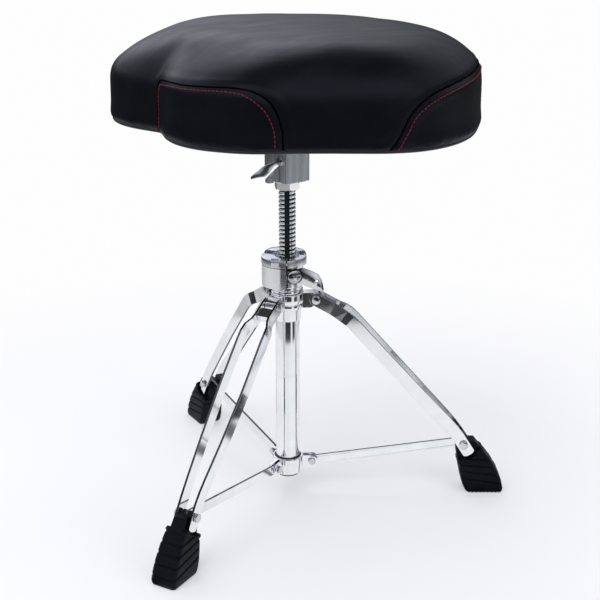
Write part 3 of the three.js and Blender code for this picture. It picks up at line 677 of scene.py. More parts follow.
def cushion_loops(inset, count=260, shoulder_steps=16):
    outline, inward = plan_and_inward(count)
    x, forward = outline[:, 0], -outline[:, 1]
    front = np.clip((forward + 20) / 190, 0, 1)
    front = front * front * (3 - 2 * front)
    notch = 8.8 * np.exp(-(x / 60) ** 2) * np.where(forward > 0, forward / 153, 0)
    inner = np.column_stack([x * 0.733, -(forward * (0.705 - 0.205 * front) + notch - 4)])
    sink = 2.7 * front + 1.1 * (x / 226) ** 2
    top = SEAT_TOP - inset

    def wall(shift, z):
        grown = inset * min(1.0, max(0.0, (z - SEAT_BASE - 4) / 14))
        return np.column_stack([outline + inward * (shift + grown), np.full(count, z)])

    loops = [wall(shift, SEAT_BASE + rise) for shift, rise in HEM]
    loops += [wall(0, z) for z in np.linspace(SEAT_BASE + 11, top - SHOULDER, 8)[:-1]]
    rim = outline + inward * inset
    for i in range(shoulder_steps + 1):
        angle = math.pi / 2 * i / shoulder_steps
        across, rise = 1 - math.cos(angle) ** 1.08, math.sin(angle) ** 1.08
        loops.append(np.column_stack([rim + (inner - rim) * across,
                                      top - SHOULDER + (SHOULDER - sink) * rise]))
    level = top + 0.6 - 0.5 * sink
    for shrink in CROWN:
        if shrink > 0.5:
            fade = (1 - shrink) / 0.5
            z = (top - sink) * (1 - fade) + level * fade
        else:
            z = level * (shrink / 0.5) + (top + 0.6) * (1 - shrink / 0.5)
        loops.append(np.column_stack([inner * shrink, z]))
    return loops


def smooth_path(points, step):
    """Spline through the points, in pieces of about the given step."""
    path = np.array(points, float)
    last = len(path) - 1
    out = []
    for i in range(last):
        start, end = path[i], path[i + 1]
        before = path[i - 1] if i > 0 else 2 * start - end
        after = path[i + 2] if i < last - 1 else 2 * end - start
        pieces = max(2, int(np.linalg.norm(end - start) / step))
        for t in np.linspace(0, 1, pieces, endpoint=False):
            out.append(0.5 * ((2 * start) + (-before + end) * t
                              + (2 * before - 5 * start + 4 * end - after) * t * t
                              + (-before + 3 * start - 3 * end + after) * t ** 3))
    out.append(path[-1])
    return np.array(out)


def positions(mesh):
    return np.array([tuple(vertex.co) for vertex in mesh.vertices])


def place_vertices(mesh, points):
    mesh.vertices.foreach_set("co", points.astype(np.float32).ravel())
    mesh.update()


def distances(points, lines):
    """Distance from each point to the nearest of the lines."""
    targets = np.vstack([smooth_path(line, 1.5) for line in lines])
    tree = KDTree(len(targets))
    for i, target in enumerate(targets):
        tree.insert(target, i)
    tree.balance()
    return np.array([tree.find(point)[2] for point in points])


def add_cloth(ob):
    cloth = ob.modifiers.new("cloth", "CLOTH")
    settings = cloth.settings
    settings.quality = 6
    settings.mass = 0.4
    settings.tension_stiffness = 30
    settings.compression_stiffness = 30
    settings.shear_stiffness = 12
    settings.bending_stiffness = 3
    settings.use_pressure = True
    settings.uniform_pressure_force = 4.0
    settings.effector_weights.gravity = 0.0
    settings.vertex_group_mass = "pin"
    cloth.collision_settings.use_collision = False
    cloth.point_cache.frame_start, cloth.point_cache.frame_end = 1, 20


def neighbour_average(values, edges, rounds=60):
    total = len(values)
    degree = np.bincount(edges.ravel(), minlength=total).astype(float)[:, None]
    ends = np.concatenate([edges[:, 0], edges[:, 1]])
    others = np.concatenate([edges[:, 1], edges[:, 0]])

    def step(soft):
        near = np.column_stack([np.bincount(ends, weights=soft[others, k], minlength=total)
                                for k in range(3)])
        return 0.4 * soft + 0.6 * near / degree
    return step, rounds


def inflate(ob):
    """Swell the cushion between its seams with a short cloth simulation."""
    hold_reach = 6.5        # the seams hold the vinyl this far to each side
    swell_limit = 3.2
    fold_share = 0.14       # share of the folds left in
    rest = positions(ob.data)
    distance = distances(rest, (LOBE_SEAM, FAR_SEAM, REAR_SEAM))
    # the cloth solver works in metres
    ob.data.transform(Matrix.Scale(MM, 4))
    pinned = (rest[:, 2] < SEAT_BASE + 3.5) | (distance < hold_reach)
    group = ob.vertex_groups.new(name="pin")
    group.add(np.flatnonzero(pinned).tolist(), 1.0, "REPLACE")
    add_cloth(ob)
    for number in range(1, 21):
        SCENE.frame_set(number)
    bake(ob)
    SCENE.frame_set(1)
    mesh = ob.data
    mesh.transform(Matrix.Scale(1 / MM, 4))
    # the vinyl is pulled taut over moulded foam: keep the swell, calm the folds
    shift = positions(mesh) - rest
    length = np.linalg.norm(shift, axis=1)
    limited = swell_limit * np.tanh(length / swell_limit) / np.maximum(length, 1e-6)
    shift = shift * np.where(length > 1e-6, limited, 0)[:, None]
    edges = np.array([tuple(edge.vertices) for edge in mesh.edges])
    average, rounds = neighbour_average(shift, edges)
    hold = np.clip(1 - distance / hold_reach, 0, 1)[:, None]
    soft = shift.copy()
    for _ in range(rounds):
        soft = average(soft)
        soft = soft * (1 - hold) + shift * hold
    place_vertices(mesh, rest + soft + fold_share * (shift - soft))


def shape_surface(mesh):
    """Add the swells, press the seams in and return the surface for the trim to lie on."""
    points = positions(mesh)
    normals = np.array([tuple(vertex.normal) for vertex in mesh.vertices])
    distance = distances(points, (LOBE_SEAM, FAR_SEAM, REAR_SEAM, mirrored(REAR_SEAM)))
    x, forward, z = np.abs(points[:, 0]), -points[:, 1], points[:, 2]
    points[:, 2] += sum(
        height * np.exp(-((x - across) / wide) ** 2) * np.exp(-((forward - ahead) / long) ** 2)
        * np.clip((z - (SEAT_TOP - below)) / grow, 0, 1)
        for height, across, wide, ahead, long, below, grow in SWELLS)
    # each seam is a narrow valley with a soft shoulder on each side
    valley = -1.5 * np.exp(-(distance / 2.4) ** 2)
    depth = valley + 0.7 * np.exp(-((distance - 7.5) / 4.5) ** 2)
    above_hem = np.clip((points[:, 2] - (SEAT_BASE + 1)) / 4, 0, 1)
    points = points + normals * (depth * above_hem)[:, None]
    place_vertices(mesh, points)
    return BVHTree.FromPolygons([tuple(point) for point in points],
                                [tuple(face.vertices) for face in mesh.polygons])


def make_cushion():
    inset = 2.2       # room for the swelling
    ob = solid("seat_cushion", loft([loop.tolist() for loop in cushion_loops(inset)]))
    remesh = ob.modifiers.new("remesh", "REMESH")
    remesh.mode = "VOXEL"
    remesh.voxel_size = 4.6
    remesh.adaptivity = 0
    bake(ob)
    inflate(ob)
    smooth = ob.modifiers.new("smooth", "SMOOTH")
    smooth.factor = 0.5
    smooth.iterations = 4
    subdivision = ob.modifiers.new("sub", "SUBSURF")
    subdivision.levels = subdivision.render_levels = 1
    bake(ob)
    ob.data.update()
    surface = shape_surface(ob.data)
    # sunk underside inside the turned-in hem, where the board shows
    outline, inward = plan_and_inward(160)
    boolean(ob, solid("tool", prism(outline + inward * 26, SEAT_BASE - 20, SEAT_BASE + 2.55)))
    ob.data.transform(SEAT)
    crease(ob, 50)
    piece(ob, "seat", "seat_vinyl", VINYL, "seat_cover", "seat_foam")
    return surface


def laid_on(surface, line, path_step, step, lift, rounds):
    """A line laid on the cushion and relaxed; returns its points and surface normals."""
    points, normals = [], []
    for point in sampled(smooth_path(line, path_step), step=step):
        place, normal, _, _ = surface.find_nearest(Vector(point))
        points.append(np.array(place) + lift * np.array(normal))
        normals.append(np.array(normal))
    points = np.array(points)
    for _ in range(rounds):
        points[1:-1] = (points[:-2] + 2 * points[1:-1] + points[2:]) / 4
    return points, normals


def make_seams(surface):
    parts = []
    for line in (LOBE_SEAM, FAR_SEAM, both_sides(REAR_SEAM)):
        path, _ = laid_on(surface, line, path_step=1.0, step=1.6, lift=0.15, rounds=2)
        parts.append(cord(path, radius=0.85, sides=6))
    piece(solid("seat_seams", merged(parts), SEAT), "seat", "seat_vinyl", SEAM_SHADOW)


def make_stitches(surface):
    parts = []
    for line in (LOBE_STITCH, FAR_STITCH, both_sides(REAR_STITCH)):
        path, normals = laid_on(surface, line, path_step=0.8, step=0.55, lift=0.12, rounds=3)
        for i in range(0, len(path) - 4, STITCH_PERIOD):
            start, end = path[i], path[min(len(path) - 1, i + STITCH_SPAN)]
            arc = [start + (end - start) * share + normals[i + 2] * lift
                   for share, lift in STITCH_ARC]
            parts.append(cord(arc, radius=0.52, sides=6))
    piece(solid("seat_stitches", merged(parts), SEAT), "seat", "seat_vinyl", STITCH_THREAD)


def make_piping():
    """Cord round the bottom edge."""
    count = 420
    outline, inward = plan_and_inward(count)
    path = np.column_stack([outline + inward * 4.6, np.full(count, SEAT_BASE + 1.3)])
    ob = solid("seat_piping", cord(path, radius=1.9, sides=10, closed=True), SEAT)
    piece(ob, "seat", "seat_vinyl", PIPING)


# ------------------------------------------------------------------ threaded rod
ROD_RADIUS = 9.75
THREAD_PITCH, THREAD_DEPTH = 5.0, 1.25
KEY_HALF_WIDTH, KEY_DEPTH = 3.0, 3.6


def thread_radius(rise, left, angle):
    """Radius at a height above the rod's foot, with the given length left to its top."""
    phase = (rise / THREAD_PITCH - angle / (2 * math.pi)) % 1.0
    # rounded crest, narrow valley
    from_valley = abs(phase - 0.5) * 2
    cut = 1 - min(1.0, max(0.0, (from_valley - 0.12) / 0.42)) ** 0.7
    end = min(1.0, rise / 2.0, left / 2.0)
    return ROD_RADIUS - THREAD_DEPTH * cut - (1 - end) * 1.2


def make_rod():
    """Thread with a keyway down its -y side, up to just below the lock nut."""
    bottom, top = heights("threaded_rod")
    key_top = heights("rod_lock_nut")[0] - 2
    key_angle = math.asin(KEY_HALF_WIDTH / ROD_RADIUS)
    count = 52
    arc = [-math.pi / 2 + key_angle + (2 * math.pi - 2 * key_angle) * i / (count - 1)
           for i in range(count)]
    loops = []
    for z in list(np.arange(bottom, top, THREAD_PITCH / 12)) + [top]:
        loop = []
        for angle in arc:
            radius = thread_radius(z - bottom, top - z, angle)
            loop.append((radius * math.cos(angle), radius * math.sin(angle), z))
        if z <= key_top:
            floor = -(ROD_RADIUS - KEY_DEPTH)
            loop += [(KEY_HALF_WIDTH * k, floor, z) for k in (-1, -1 / 3, 1 / 3, 1)]
        else:
            # closed round with the radius of the arc's last point
            for share in (-0.6, -0.2, 0.2, 0.6):
                angle = -math.pi / 2 + share * key_angle
                loop.append((radius * math.cos(angle), radius * math.sin(angle), z))
        loops.append(loop)
    ob = solid("rod_thread", loft(loops), COLUMN)
    crease(ob, 55)
    piece(ob, "seat", "rod_steel", THREAD_STEEL, "threaded_rod")


# ------------------------------------------------------------------ round parts of the column
BORE = 14.6                     # radius inside the hub and neck ring
HUB_SHELF = 236.6               # foot of the hub's wide part
LUG_X, LUG_Z = 33.3, 247.9      # centre of each lug's hole
LUG_RADIUS = 5.8


def make_tube():
    bottom, top = heights("column_tube")
    profile = [(12.6, bottom), (14.3, bottom), (14.3, top), (12.6, top)]
    ob = solid("column_chrome", lathe(rounded(profile, 0.7, 4), 128), COLUMN)
    crease(ob, 40)
    piece(ob, "base", "chrome_plate", CHROME, "column_tube")


def make_hub():
    """Grooved hub with a drilled lug for each leg and a radial hole below."""
    bottom, top = heights("leg_hub")
    shelf = HUB_SHELF
    profile = [
        (BORE, bottom), (15.3, bottom), (16.0, bottom + 0.8), (16.0, shelf - 0.4),
        (18.4, shelf), (19.1, shelf + 0.8), (19.2, shelf + 5.8), (18.75, shelf + 6.3),
        (18.75, shelf + 6.9), (19.2, shelf + 7.4), (19.2, top - 1.0), (18.4, top), (BORE, top)]
    hub = solid("hub_casting", lathe(rounded(profile, 0.35, 2), 128))
    turns = [math.radians(-70 + 150 * i / 12) for i in range(13)]
    tip = [(LUG_X + LUG_RADIUS * math.cos(t), LUG_Z + LUG_RADIUS * math.sin(t)) for t in turns]
    side = [(16.6, shelf + 0.6), (27.5, shelf + 0.9)] + tip + [(30, top - 0.6), (16.6, top - 0.6)]
    for k in range(3):
        turn = spin(120 * k, "Z")
        boolean(hub, solid("tool", prism(side, -6.8, 6.8, "y"), turn), "UNION")
        boolean(hub, cylinder(3.4, -12, 12, turn @ move(LUG_X, 0, LUG_Z) @ spin(90, "X"), 32))
    hole = spin(210, "Z") @ move(0, 0, shelf - 7) @ spin(90, "X")
    boolean(hub, cylinder(2.6, 10, 30, hole, 24))
    hub.data.transform(COLUMN)
    crease(hub, 30)
    bevel(hub, 0.45, angle=34)
    piece(hub, "base", "chrome_plate", CHROME, "leg_hub")


def make_neck():
    bottom, top = heights("neck_ring")
    profile = [
        (BORE, bottom), (17.4, bottom), (18.0, bottom + 0.7), (18.0, bottom + 3.6),
        (17.0, bottom + 4.4), (17.0, top - 0.8), (16.4, top), (BORE, top)]
    ob = solid("neck_flange", lathe(rounded(profile, 0.4, 3), 128), COLUMN)
    crease(ob, 40)
    piece(ob, "base", "chrome_plate", CHROME, "neck_ring")


# ------------------------------------------------------------------ clamp housing, lever, ring
CLAMP_ANGLE = -72.0             # direction of the clamp's axis, from leg a
CLAMP_Z = 281.2
# the clamp's axis as local +Z
CLAMP = spin(CLAMP_ANGLE, "Z") @ move(0, 0, CLAMP_Z) @ spin(90, "Y")
COLLAR_X = -4.0                 # the housing and ring sit off the column's axis
THREAD_HOLE = 4.3               # radius of the bore through the lever
HOLE_X, HOLE_Z = 33.9, 276.2    # hole in the lever's wing


def make_housing():
    """Half drum with a round core, split on the -y side and bored for the clamp."""
    bottom, top = heights("nut_housing")
    drum = lathe([(25.8, bottom), (25.8, top)], 160, cx=COLLAR_X, ring=False)
    housing = solid("split_housing", drum)
    boolean(housing, block(-40, -0.9, -40, 40, bottom - 5, top + 5), "INTERSECT")
    boolean(housing, cylinder(18.4, bottom, top, count=128), "UNION")
    boolean(housing, cylinder(13.7, bottom - 1, top + 1))
    boolean(housing, block(-0.9, 0.9, -40, -10, bottom - 5, top + 5))
    boolean(housing, cylinder(4.4, 10, 30, CLAMP, 48))
    boolean(housing, cylinder(9.9, 17.6, 40, CLAMP, 64))
    housing.data.transform(COLUMN)
    crease(housing, 30)
    bevel(housing, 0.7, segments=3, angle=34)
    piece(housing, "base", "chrome_plate", CHROME_SATIN, "nut_housing")


def lever_chrome():
    """Plated blade with painted shade: the barrel is a darker grey, and the barrel's groove and
    the hole in the wing hold painted shadow.
    """
    material, tree, surface = new_material("lever_chrome")
    place = node(tree, "TexCoord").outputs["Object"]
    turn = Matrix.Rotation(TURN, 3, "Z")

    def distance_from(point, direction):
        """Distance in mm from a line of the column's frame."""
        offset = vector_calc(tree, "SUBTRACT", {0: place, 1: tuple(COLUMN @ Vector(point))})[0]
        cross = vector_calc(tree, "CROSS_PRODUCT",
                            {0: offset, 1: tuple(turn @ Vector(direction))})[0]
        scaled = vector_calc(tree, "SCALE", {0: cross, "Scale": 1000})[0]
        return vector_calc(tree, "LENGTH", {0: scaled})["Value"]

    angle = math.radians(CLAMP_ANGLE)
    barrel = distance_from((0, 0, CLAMP_Z), (math.cos(angle), math.sin(angle), 0))
    hole = distance_from((HOLE_X, 0, HOLE_Z), (0, 1, 0))
    cloud = noise(tree, coords(tree), scale=40, detail=5)
    plate = two_tone(tree, cloud, dark=(0.58, 0.595, 0.615), light=(0.72, 0.73, 0.75))
    # darker grey on the barrel: painted shade
    grey = two_tone(tree, cloud, dark=(0.34, 0.355, 0.37), light=(0.46, 0.475, 0.49))
    past_barrel = remap(tree, barrel, source=(9.4, 9.8), to=(0.0, 1.0))
    colour = mix(tree, past_barrel, grey, plate)
    groove = ramp(tree, remap(tree, barrel, source=(7.9, 9.6), to=(0.0, 1.0)),
                  [(0.0, 1.0), (0.3, 0.06), (0.7, 0.06), (1.0, 1.0)])
    colour = mix(tree, 1.0, colour, groove, "MULTIPLY")
    shade = ramp(tree, remap(tree, hole, source=(1.4, 2.6), to=(0.0, 1.0)),
                 [(0.0, 0.02), (0.55, 0.02), (0.8, 1.0)])
    feed(tree, surface, {"Base Color": mix(tree, 1.0, colour, shade, "MULTIPLY"),
                         "Roughness": remap(tree, cloud, to=(0.07, 0.13)), "Metallic": 1.0})
    grain = noise(tree, coords(tree), scale=900, detail=3)
    bump(tree, surface, grain, strength=0.015, distance=0.0002)
    return material


# wing stations outwards: upper edge x and z, lower edge x and z, crease as a share of the
# height, distance of the crease on the -y side, drop of the edges behind it
WING = [
    (11.0, 288.9, 11.0, 273.4, 0.62, 24.1, 0.1), (14.5, 290.6, 14.0, 272.6, 0.66, 24.4, 0.45),
    (18.5, 290.8, 17.5, 270.9, 0.68, 24.9, 0.8), (24.9, 288.6, 21.5, 269.3, 0.66, 25.8, 1.0),
    (30.7, 286.1, 26.0, 267.9, 0.62, 26.7, 1.0), (35.8, 283.0, 31.0, 266.6, 0.57, 27.4, 1.0),
    (39.4, 277.5, 35.0, 265.4, 0.52, 27.9, 0.9), (41.0, 271.5, 38.0, 264.7, 0.48, 28.2, 0.7),
    (42.0, 265.6, 40.4, 264.2, 0.48, 28.3, 0.6)]
BLADE = 1.9             # thickness of both levers' blades


def make_wing():
    """Creased blade from the barrel to the holed tip, clear of the housing as it turns."""
    loops = []
    for upper_x, upper_z, lower_x, lower_z, fold, face, drop in WING:
        row = []
        for q in (0.0, 0.05, fold * 0.5, fold - 0.035, fold + 0.035, (1 + fold) / 2, 0.95, 1.0):
            # the blade is highest along the crease and drops away to both edges
            out = face - drop * (6.0 * max(0.0, q - fold) + 2.2 * max(0.0, fold - q))
            row.append((lower_x + (upper_x - lower_x) * q, -out,
                        lower_z + (upper_z - lower_z) * q))
        loops.append(row + [(x, y + BLADE, z) for x, y, z in reversed(row)])
    wing = solid("tool", loft(loops))
    boolean(wing, cylinder(THREAD_HOLE, 10, 40, CLAMP, 48))
    boolean(wing, cylinder(1.75, -60, -10, move(HOLE_X, 0, HOLE_Z) @ spin(-90, "X"), 32))
    return wing


def make_lever():
    # barrel with a grooved shoulder and a domed end
    dome_radius, dome_base = 8.45, 27.4
    profile = [(THREAD_HOLE, 18.0), (9.0, 18.0), (9.5, 18.6), (9.5, 26.4), (9.1, 26.9),
               (8.55, 26.9), (dome_radius, dome_base)]
    for i in range(1, 10):
        angle = math.radians(90 * i / 10)
        profile.append((dome_radius * math.cos(angle), dome_base + 2.6 * math.sin(angle)))
    profile += [(0.9, 30.03), (0.9, 28.4), (THREAD_HOLE, 28.4)]
    lever = solid("wing_lever", lathe(profile, 96), CLAMP)
    boolean(lever, make_wing(), "UNION")
    lever.data.transform(COLUMN)
    crease(lever, 20)
    bevel(lever, 0.35, angle=26)
    piece(lever, "clamp_lever", "chrome_plate", lever_chrome(), "clamp_lever")


def make_ring():
    """Off-centre ring with a raised half, a slit, a notch and a key slot."""
    bottom, top = heights("lock_ring")
    rim = bottom + 9.4
    outer, inner, bore = 26.3, 13.6, 10.2
    count = 192

    def level(radius, z, cx=COLLAR_X):
        return circle(radius, z, count, cx)

    def lip(radius, rise, cx=COLLAR_X):
        """Loop that follows the rim, which steps up towards +y."""
        out = []
        for x, y, _ in level(radius, 0, cx):
            angle = math.atan2(y, x - COLLAR_X) - math.radians(-8)
            t = max(0.0, min(1.0, (math.sin(angle) - 0.12) / 0.45))
            out.append((x, y, rim + 3.1 * t * t * (3 - 2 * t) + rise))
        return out

    ring = solid("lock_collar", loft([
        level(bore, bottom, 0), level(outer - 0.7, bottom), level(outer, bottom + 0.7),
        lip(outer, -0.8), lip(outer - 0.25, -0.25), lip(outer - 0.9, 0.0),
        lip(outer - 2.2, 0.0), lip(outer - 2.6, -0.3), lip(19, -0.3, -2.4),
        lip(14.4, -0.3, 0), lip(inner, -0.9, 0), level(inner, rim - 4.2, 0),
        level(bore, rim - 4.2, 0)], ring=True))
    boolean(ring, block(-1.4, 0.2, -40, -8, bottom - 5, top + 5))
    boolean(ring, block(-18.5, -9.5, -40, -14, rim - 3.6, top + 5))
    boolean(ring, block(-2.95, 2.95, -13.2, 0, bottom - 5, top + 5))
    boolean(ring, cylinder(2.6, -16, 10, move(-3.6, -18.4, bottom + 3.4) @ spin(90, "Y"), 32))
    ring.data.transform(COLUMN)
    crease(ring, 30)
    bevel(ring, 0.35, angle=34)
    piece(ring, "lock_ring", "chrome_plate", RING_SATIN, "lock_ring")


# ------------------------------------------------------------------ bracket (seat frame)
# outline of the slanted slot, x and z, for a bracket whose foot is at 389.8
SLOT = [(-3, 409.3), (-10.3, 405.9), (-19.8, 397.0), (-24.3, 392.3), (-30, 386.5), (-45, 374),
        (-45, 392), (-24, 402.5), (-18.2, 407.2), (-11.2, 411.2), (-3, 411.8)]
HALF_X, HALF_Y = 22.6, 16.8     # half sizes of the casting
PLATE = 4.2                     # thickness of the plate under the board
PIVOT_X, PIVOT_Z = 14.5, 414.5  # screw that the lever turns on


def make_bracket():
    bottom, top = heights("seat_bracket")
    rise = bottom - 389.8
    outline = round_rect(-HALF_X, HALF_X, -HALF_Y, HALF_Y, 2.2)
    casting = solid("bracket_casting", prism(outline, bottom, top - 2))
    # peg below one corner, mounting plate, and a web to each side
    peg = round_rect(-21.5, -13.5, -HALF_Y + 0.4, -8.8, 1.2)
    added = [prism(peg, bottom - 6.4, bottom + 1),
             prism(round_rect(-56, 56, -48, 48, 9), top - PLATE, top)]
    for side in (-1, 1):
        web = [(side * (HALF_X - 1), top - 2), (side * 50, top - 2), (side * 50, top - 6),
               (side * (HALF_X - 1), top - 26)]
        added.append(prism(web, -2.5, 2.5, "y"))
    for geometry in added:
        boolean(casting, solid("tool", geometry), "UNION")
    boolean(casting, cylinder(10.1, bottom - 12, 453.5, count=64))
    # slanted slot, with the fin left below it
    turn = Matrix.Rotation(TURN, 4, "Z")
    loops = [[tuple(turn @ Vector((x, y, z + rise - 0.236 * (y + 10)))) for x, z in SLOT]
             for y in (-42, 42)]
    boolean(casting, solid("tool", loft(loops)))
    boolean(casting, block(HALF_X - 2.0, HALF_X + 5, HALF_Y - 6.5, HALF_Y + 5,
                           bottom - 1, top - PLATE))
    boolean(casting, cylinder(3.4, 0, 12, move(PIVOT_X, -8, PIVOT_Z + rise) @ spin(90, "X"), 32))
    for x, y in ((-44, -36), (44, -36), (44, 36), (-44, 36)):
        boolean(casting, cylinder(3.4, top - 20, top + 9, count=24, cx=x, cy=y))
    casting.data.transform(SEAT)
    crease(casting, 30)
    bevel(casting, 0.5)
    piece(casting, "seat", "cast_alloy", CAST, "seat_bracket")


# stations of the bracket's lever: upper edge x and z, lower edge x and z,
# distance in front of the axis
LEVER = [
    (21.5, 417.4, 21.8, 414.2, 18.6), (13.0, 417.6, 15.6, 411.6, 18.9),
    (5.5, 413.2, 9.0, 410.0, 19.2), (-6.0, 408.6, 0.0, 405.6, 19.4),
    (-17.5, 403.9, -4.5, 401.6, 19.7), (-22.5, 400.9, -8.6, 396.6, 20.6),
    (-26.0, 397.2, -14.2, 391.8, 22.4), (-31.2, 392.8, -26.5, 388.3, 25.2),
    (-36.4, 388.4, -35.2, 385.2, 26.4)]
# section of its blade: share of the height from the lower edge, offset forwards
LEVER_SECTION = [(0.0, -0.5), (0.12, 0.0), (0.55, 0.35), (0.88, 0.0), (1.0, -0.5),
                 (1.0, -BLADE), (0.5, -BLADE), (0.0, -BLADE)]


def make_seat_lever():
    loops = [[(lower_x + (upper_x - lower_x) * q, -(face + offset),
               lower_z + (upper_z - lower_z) * q) for q, offset in LEVER_SECTION]
             for upper_x, upper_z, lower_x, lower_z, face in LEVER]
    lever = solid("bracket_lever", loft(loops))
    pivot = move(PIVOT_X, -17.3, PIVOT_Z) @ spin(90, "X")
    boolean(lever, cylinder(4.6, 0, 2.4, pivot, 48), "UNION")
    boolean(lever, cylinder(3.1, -12, 12, pivot, 32))
    lever.data.transform(SEAT)
    crease(lever, 24)
    bevel(lever, 0.3)
    piece(lever, "seat_clamp_lever", "cast_alloy", CAST_LIGHT, "seat_clamp_lever")


def make_seat_screw():
    """Flush screw that the bracket's lever turns on."""
    profile = [(0.2, 20.6), (1.3, 20.6), (1.3, 21.3), (3.4, 21.3), (4.2, 20.9), (4.4, 20.0),
               (2.9, 19.8), (2.9, 11.0), (0.2, 11.0)]
    place = SEAT @ move(PIVOT_X, 0, PIVOT_Z) @ spin(90, "X")
    screw = solid("bracket_screw_head", lathe(profile, 48), place)
    crease(screw, 30)
    piece(screw, "seat_clamp_lever", "bright_hardware", CAST_SHADED, "seat_clamp_bolt")


def make_nut():
    """Nut under the bracket: six flats cut from a chamfered disc."""
    bottom, top = heights("rod_lock_nut")
    across_flats = 26.0
    corner = across_flats / math.sqrt(3)
    bore = 10.05
    profile = [
        (bore, bottom + 0.9), (11.2, bottom), (corner * 0.885, bottom),
        (corner * 1.01, bottom + 1.9), (corner * 1.01, top - 1.9), (corner * 0.885, top),
        (11.2, top), (bore, top - 0.9)]
    nut = solid("hex_nut", lathe(profile, 96))
    turns = [math.radians(102 + 60 * i) for i in range(6)]
    hexagon = [(corner * math.cos(t), corner * math.sin(t)) for t in turns]
    boolean(nut, solid("tool", prism(hexagon, bottom - 1, top + 1)), "INTERSECT")
    nut.data.transform(COLUMN)
    crease(nut, 25)
    bevel(nut, 0.3)
    piece(nut, "seat", "chrome_plate", CHROME, "rod_lock_nut")


# ------------------------------------------------------------------ rubber feet (leg frames)
# height, inner face x, outer face x, half width
FOOT = [(0, 219, 262.5, 15.6), (5, 215.8, 263.2, 16.0), (14, 212.2, 261.4, 15.6),
        (26, 209.6, 256.6, 14.9), (41, 207.2, 247.8, 14.0), (53, 204.8, 238.6, 13.0),
        (60, 204.4, 232.0, 12.6), (66.5, 208.0, 226.8, 11.8)]
FOOT_LEVELS = [0.0, 0.8, 1.8] + [2.6 + 0.85 * i for i in range(75)] + [66.5]
# grooves that slope down towards the outside: height at x = 214, slope
GROOVES = [(18.5, 0.16), (27.5, 0.12), (36.0, 0.08), (44.0, 0.03)]
RIM_X, RIM_Z = 209.2, 42.0      # inner end of the foot's sloping rim
SOLE_GROOVES, SOLE_START, SOLE_PITCH = 8, 223.5, 4.75


def foot_outline(inner, outer, half):
    """Rounded rectangle with extra points along the flats."""
    segments, flat = 6, 14
    corners = round_rect(inner, outer, -half, half, 5.0, segments)
    out = []
    for i, (x, y) in enumerate(corners):
        out.append((x, y))
        if i % (segments + 1) == segments:
            next_x, next_y = corners[(i + 1) % len(corners)]
            for k in range(1, flat):
                out.append((x + (next_x - x) * k / flat, y + (next_y - y) * k / flat))
    return out


def foot_relief(x, z, inner):
    """How far the surface stands out from the plain foot."""
    cut = max(1.7 * math.exp(-(abs(z - (height - slope * (x - 214))) / 0.95) ** 4)
              for height, slope in GROOVES)
    # the grooves fade out round the inner face
    cut *= min(1.0, max(0.0, (x - inner - 1.5) / 4.0))
    # raised lip round the top
    above = z - (RIM_Z + 0.615 * (x - RIM_X))
    lip = 1.15 * math.exp(-((above + 2.4) / 2.2) ** 4)
    lip -= 0.8 * math.exp(-((above + 6.6) / 1.3) ** 2)
    sole = 0.9 * max(0.0, 1 - z / 1.8)
    return lip - cut - sole


def foot_loop(z):
    levels = [row[0] for row in FOOT]
    inner, outer, half = (float(np.interp(z, levels, [row[k] for row in FOOT]))
                          for k in (1, 2, 3))
    middle = (inner + outer) / 2
    loop = []
    for x, y in foot_outline(inner, outer, half):
        length = math.hypot(x - middle, y) + 1e-6
        out_x, out_y = (x - middle) / length, y / length
        if abs(y) > half - 0.01:
            out_x, out_y = 0, math.copysign(1, y)
        elif x > outer - 0.01:
            out_x, out_y = 1, 0
        elif x < inner + 0.01:
            out_x, out_y = -1, 0
        relief = foot_relief(x, z, inner)
        loop.append((x + out_x * relief, y + out_y * relief, z))
    return loop


def foot_pocket():
    """Outline of the slanting pocket for a strip, in x and z."""
    top, low, radius = np.array((206, 73.4)), np.array((219.9, 51.4)), 8.2
    along = (low - top) / np.linalg.norm(low - top)
    side = np.array((-along[1], along[0]))
    end = low + along * 4.6
    wide, narrow = side * (radius - 1.2), side * (radius - 2.6)
    tip = end + along * 1.2
    points = [top + side * radius, top - side * radius, end - wide, tip - narrow,
              tip + narrow, end + wide]
    return [tuple(point) for point in points]


def make_foot(k, name):
    foot = solid("foot_rubber_" + name, loft([foot_loop(z) for z in FOOT_LEVELS]))
    cuts = []
    for i in range(SOLE_GROOVES):
        x = SOLE_START + SOLE_PITCH * i
        groove = [(x - 1.15, -0.5), (x + 1.15, -0.5), (x + 0.35, 1.7), (x - 0.35, 1.7)]
        cuts.append((groove, -20, 20))
    # pockets and sloping side cuts, as in the CAD part
    pocket = foot_pocket()
    cuts += [(pocket, -25, -8.15), (pocket, 8.15, 25)]
    above_rim = [(196, 34.5), (RIM_X, RIM_Z), (231.0, 55.4), (242.0, 62.4), (242, 90), (196, 90)]
    cuts += [(above_rim, -25, -7.4), (above_rim, 7.4, 25)]
    for outline, low, high in cuts:
        boolean(foot, solid("tool", prism(outline, low, high, "y")))
    foot.data.transform(leg_frame(k))
    crease(foot, 38)
    piece(foot, "leg_" + name, "foot_rubber", RUBBER, "rubber_foot_" + name)


# ------------------------------------------------------------------ floor
PAPER_WHITE = (0.985, 0.985, 0.99)
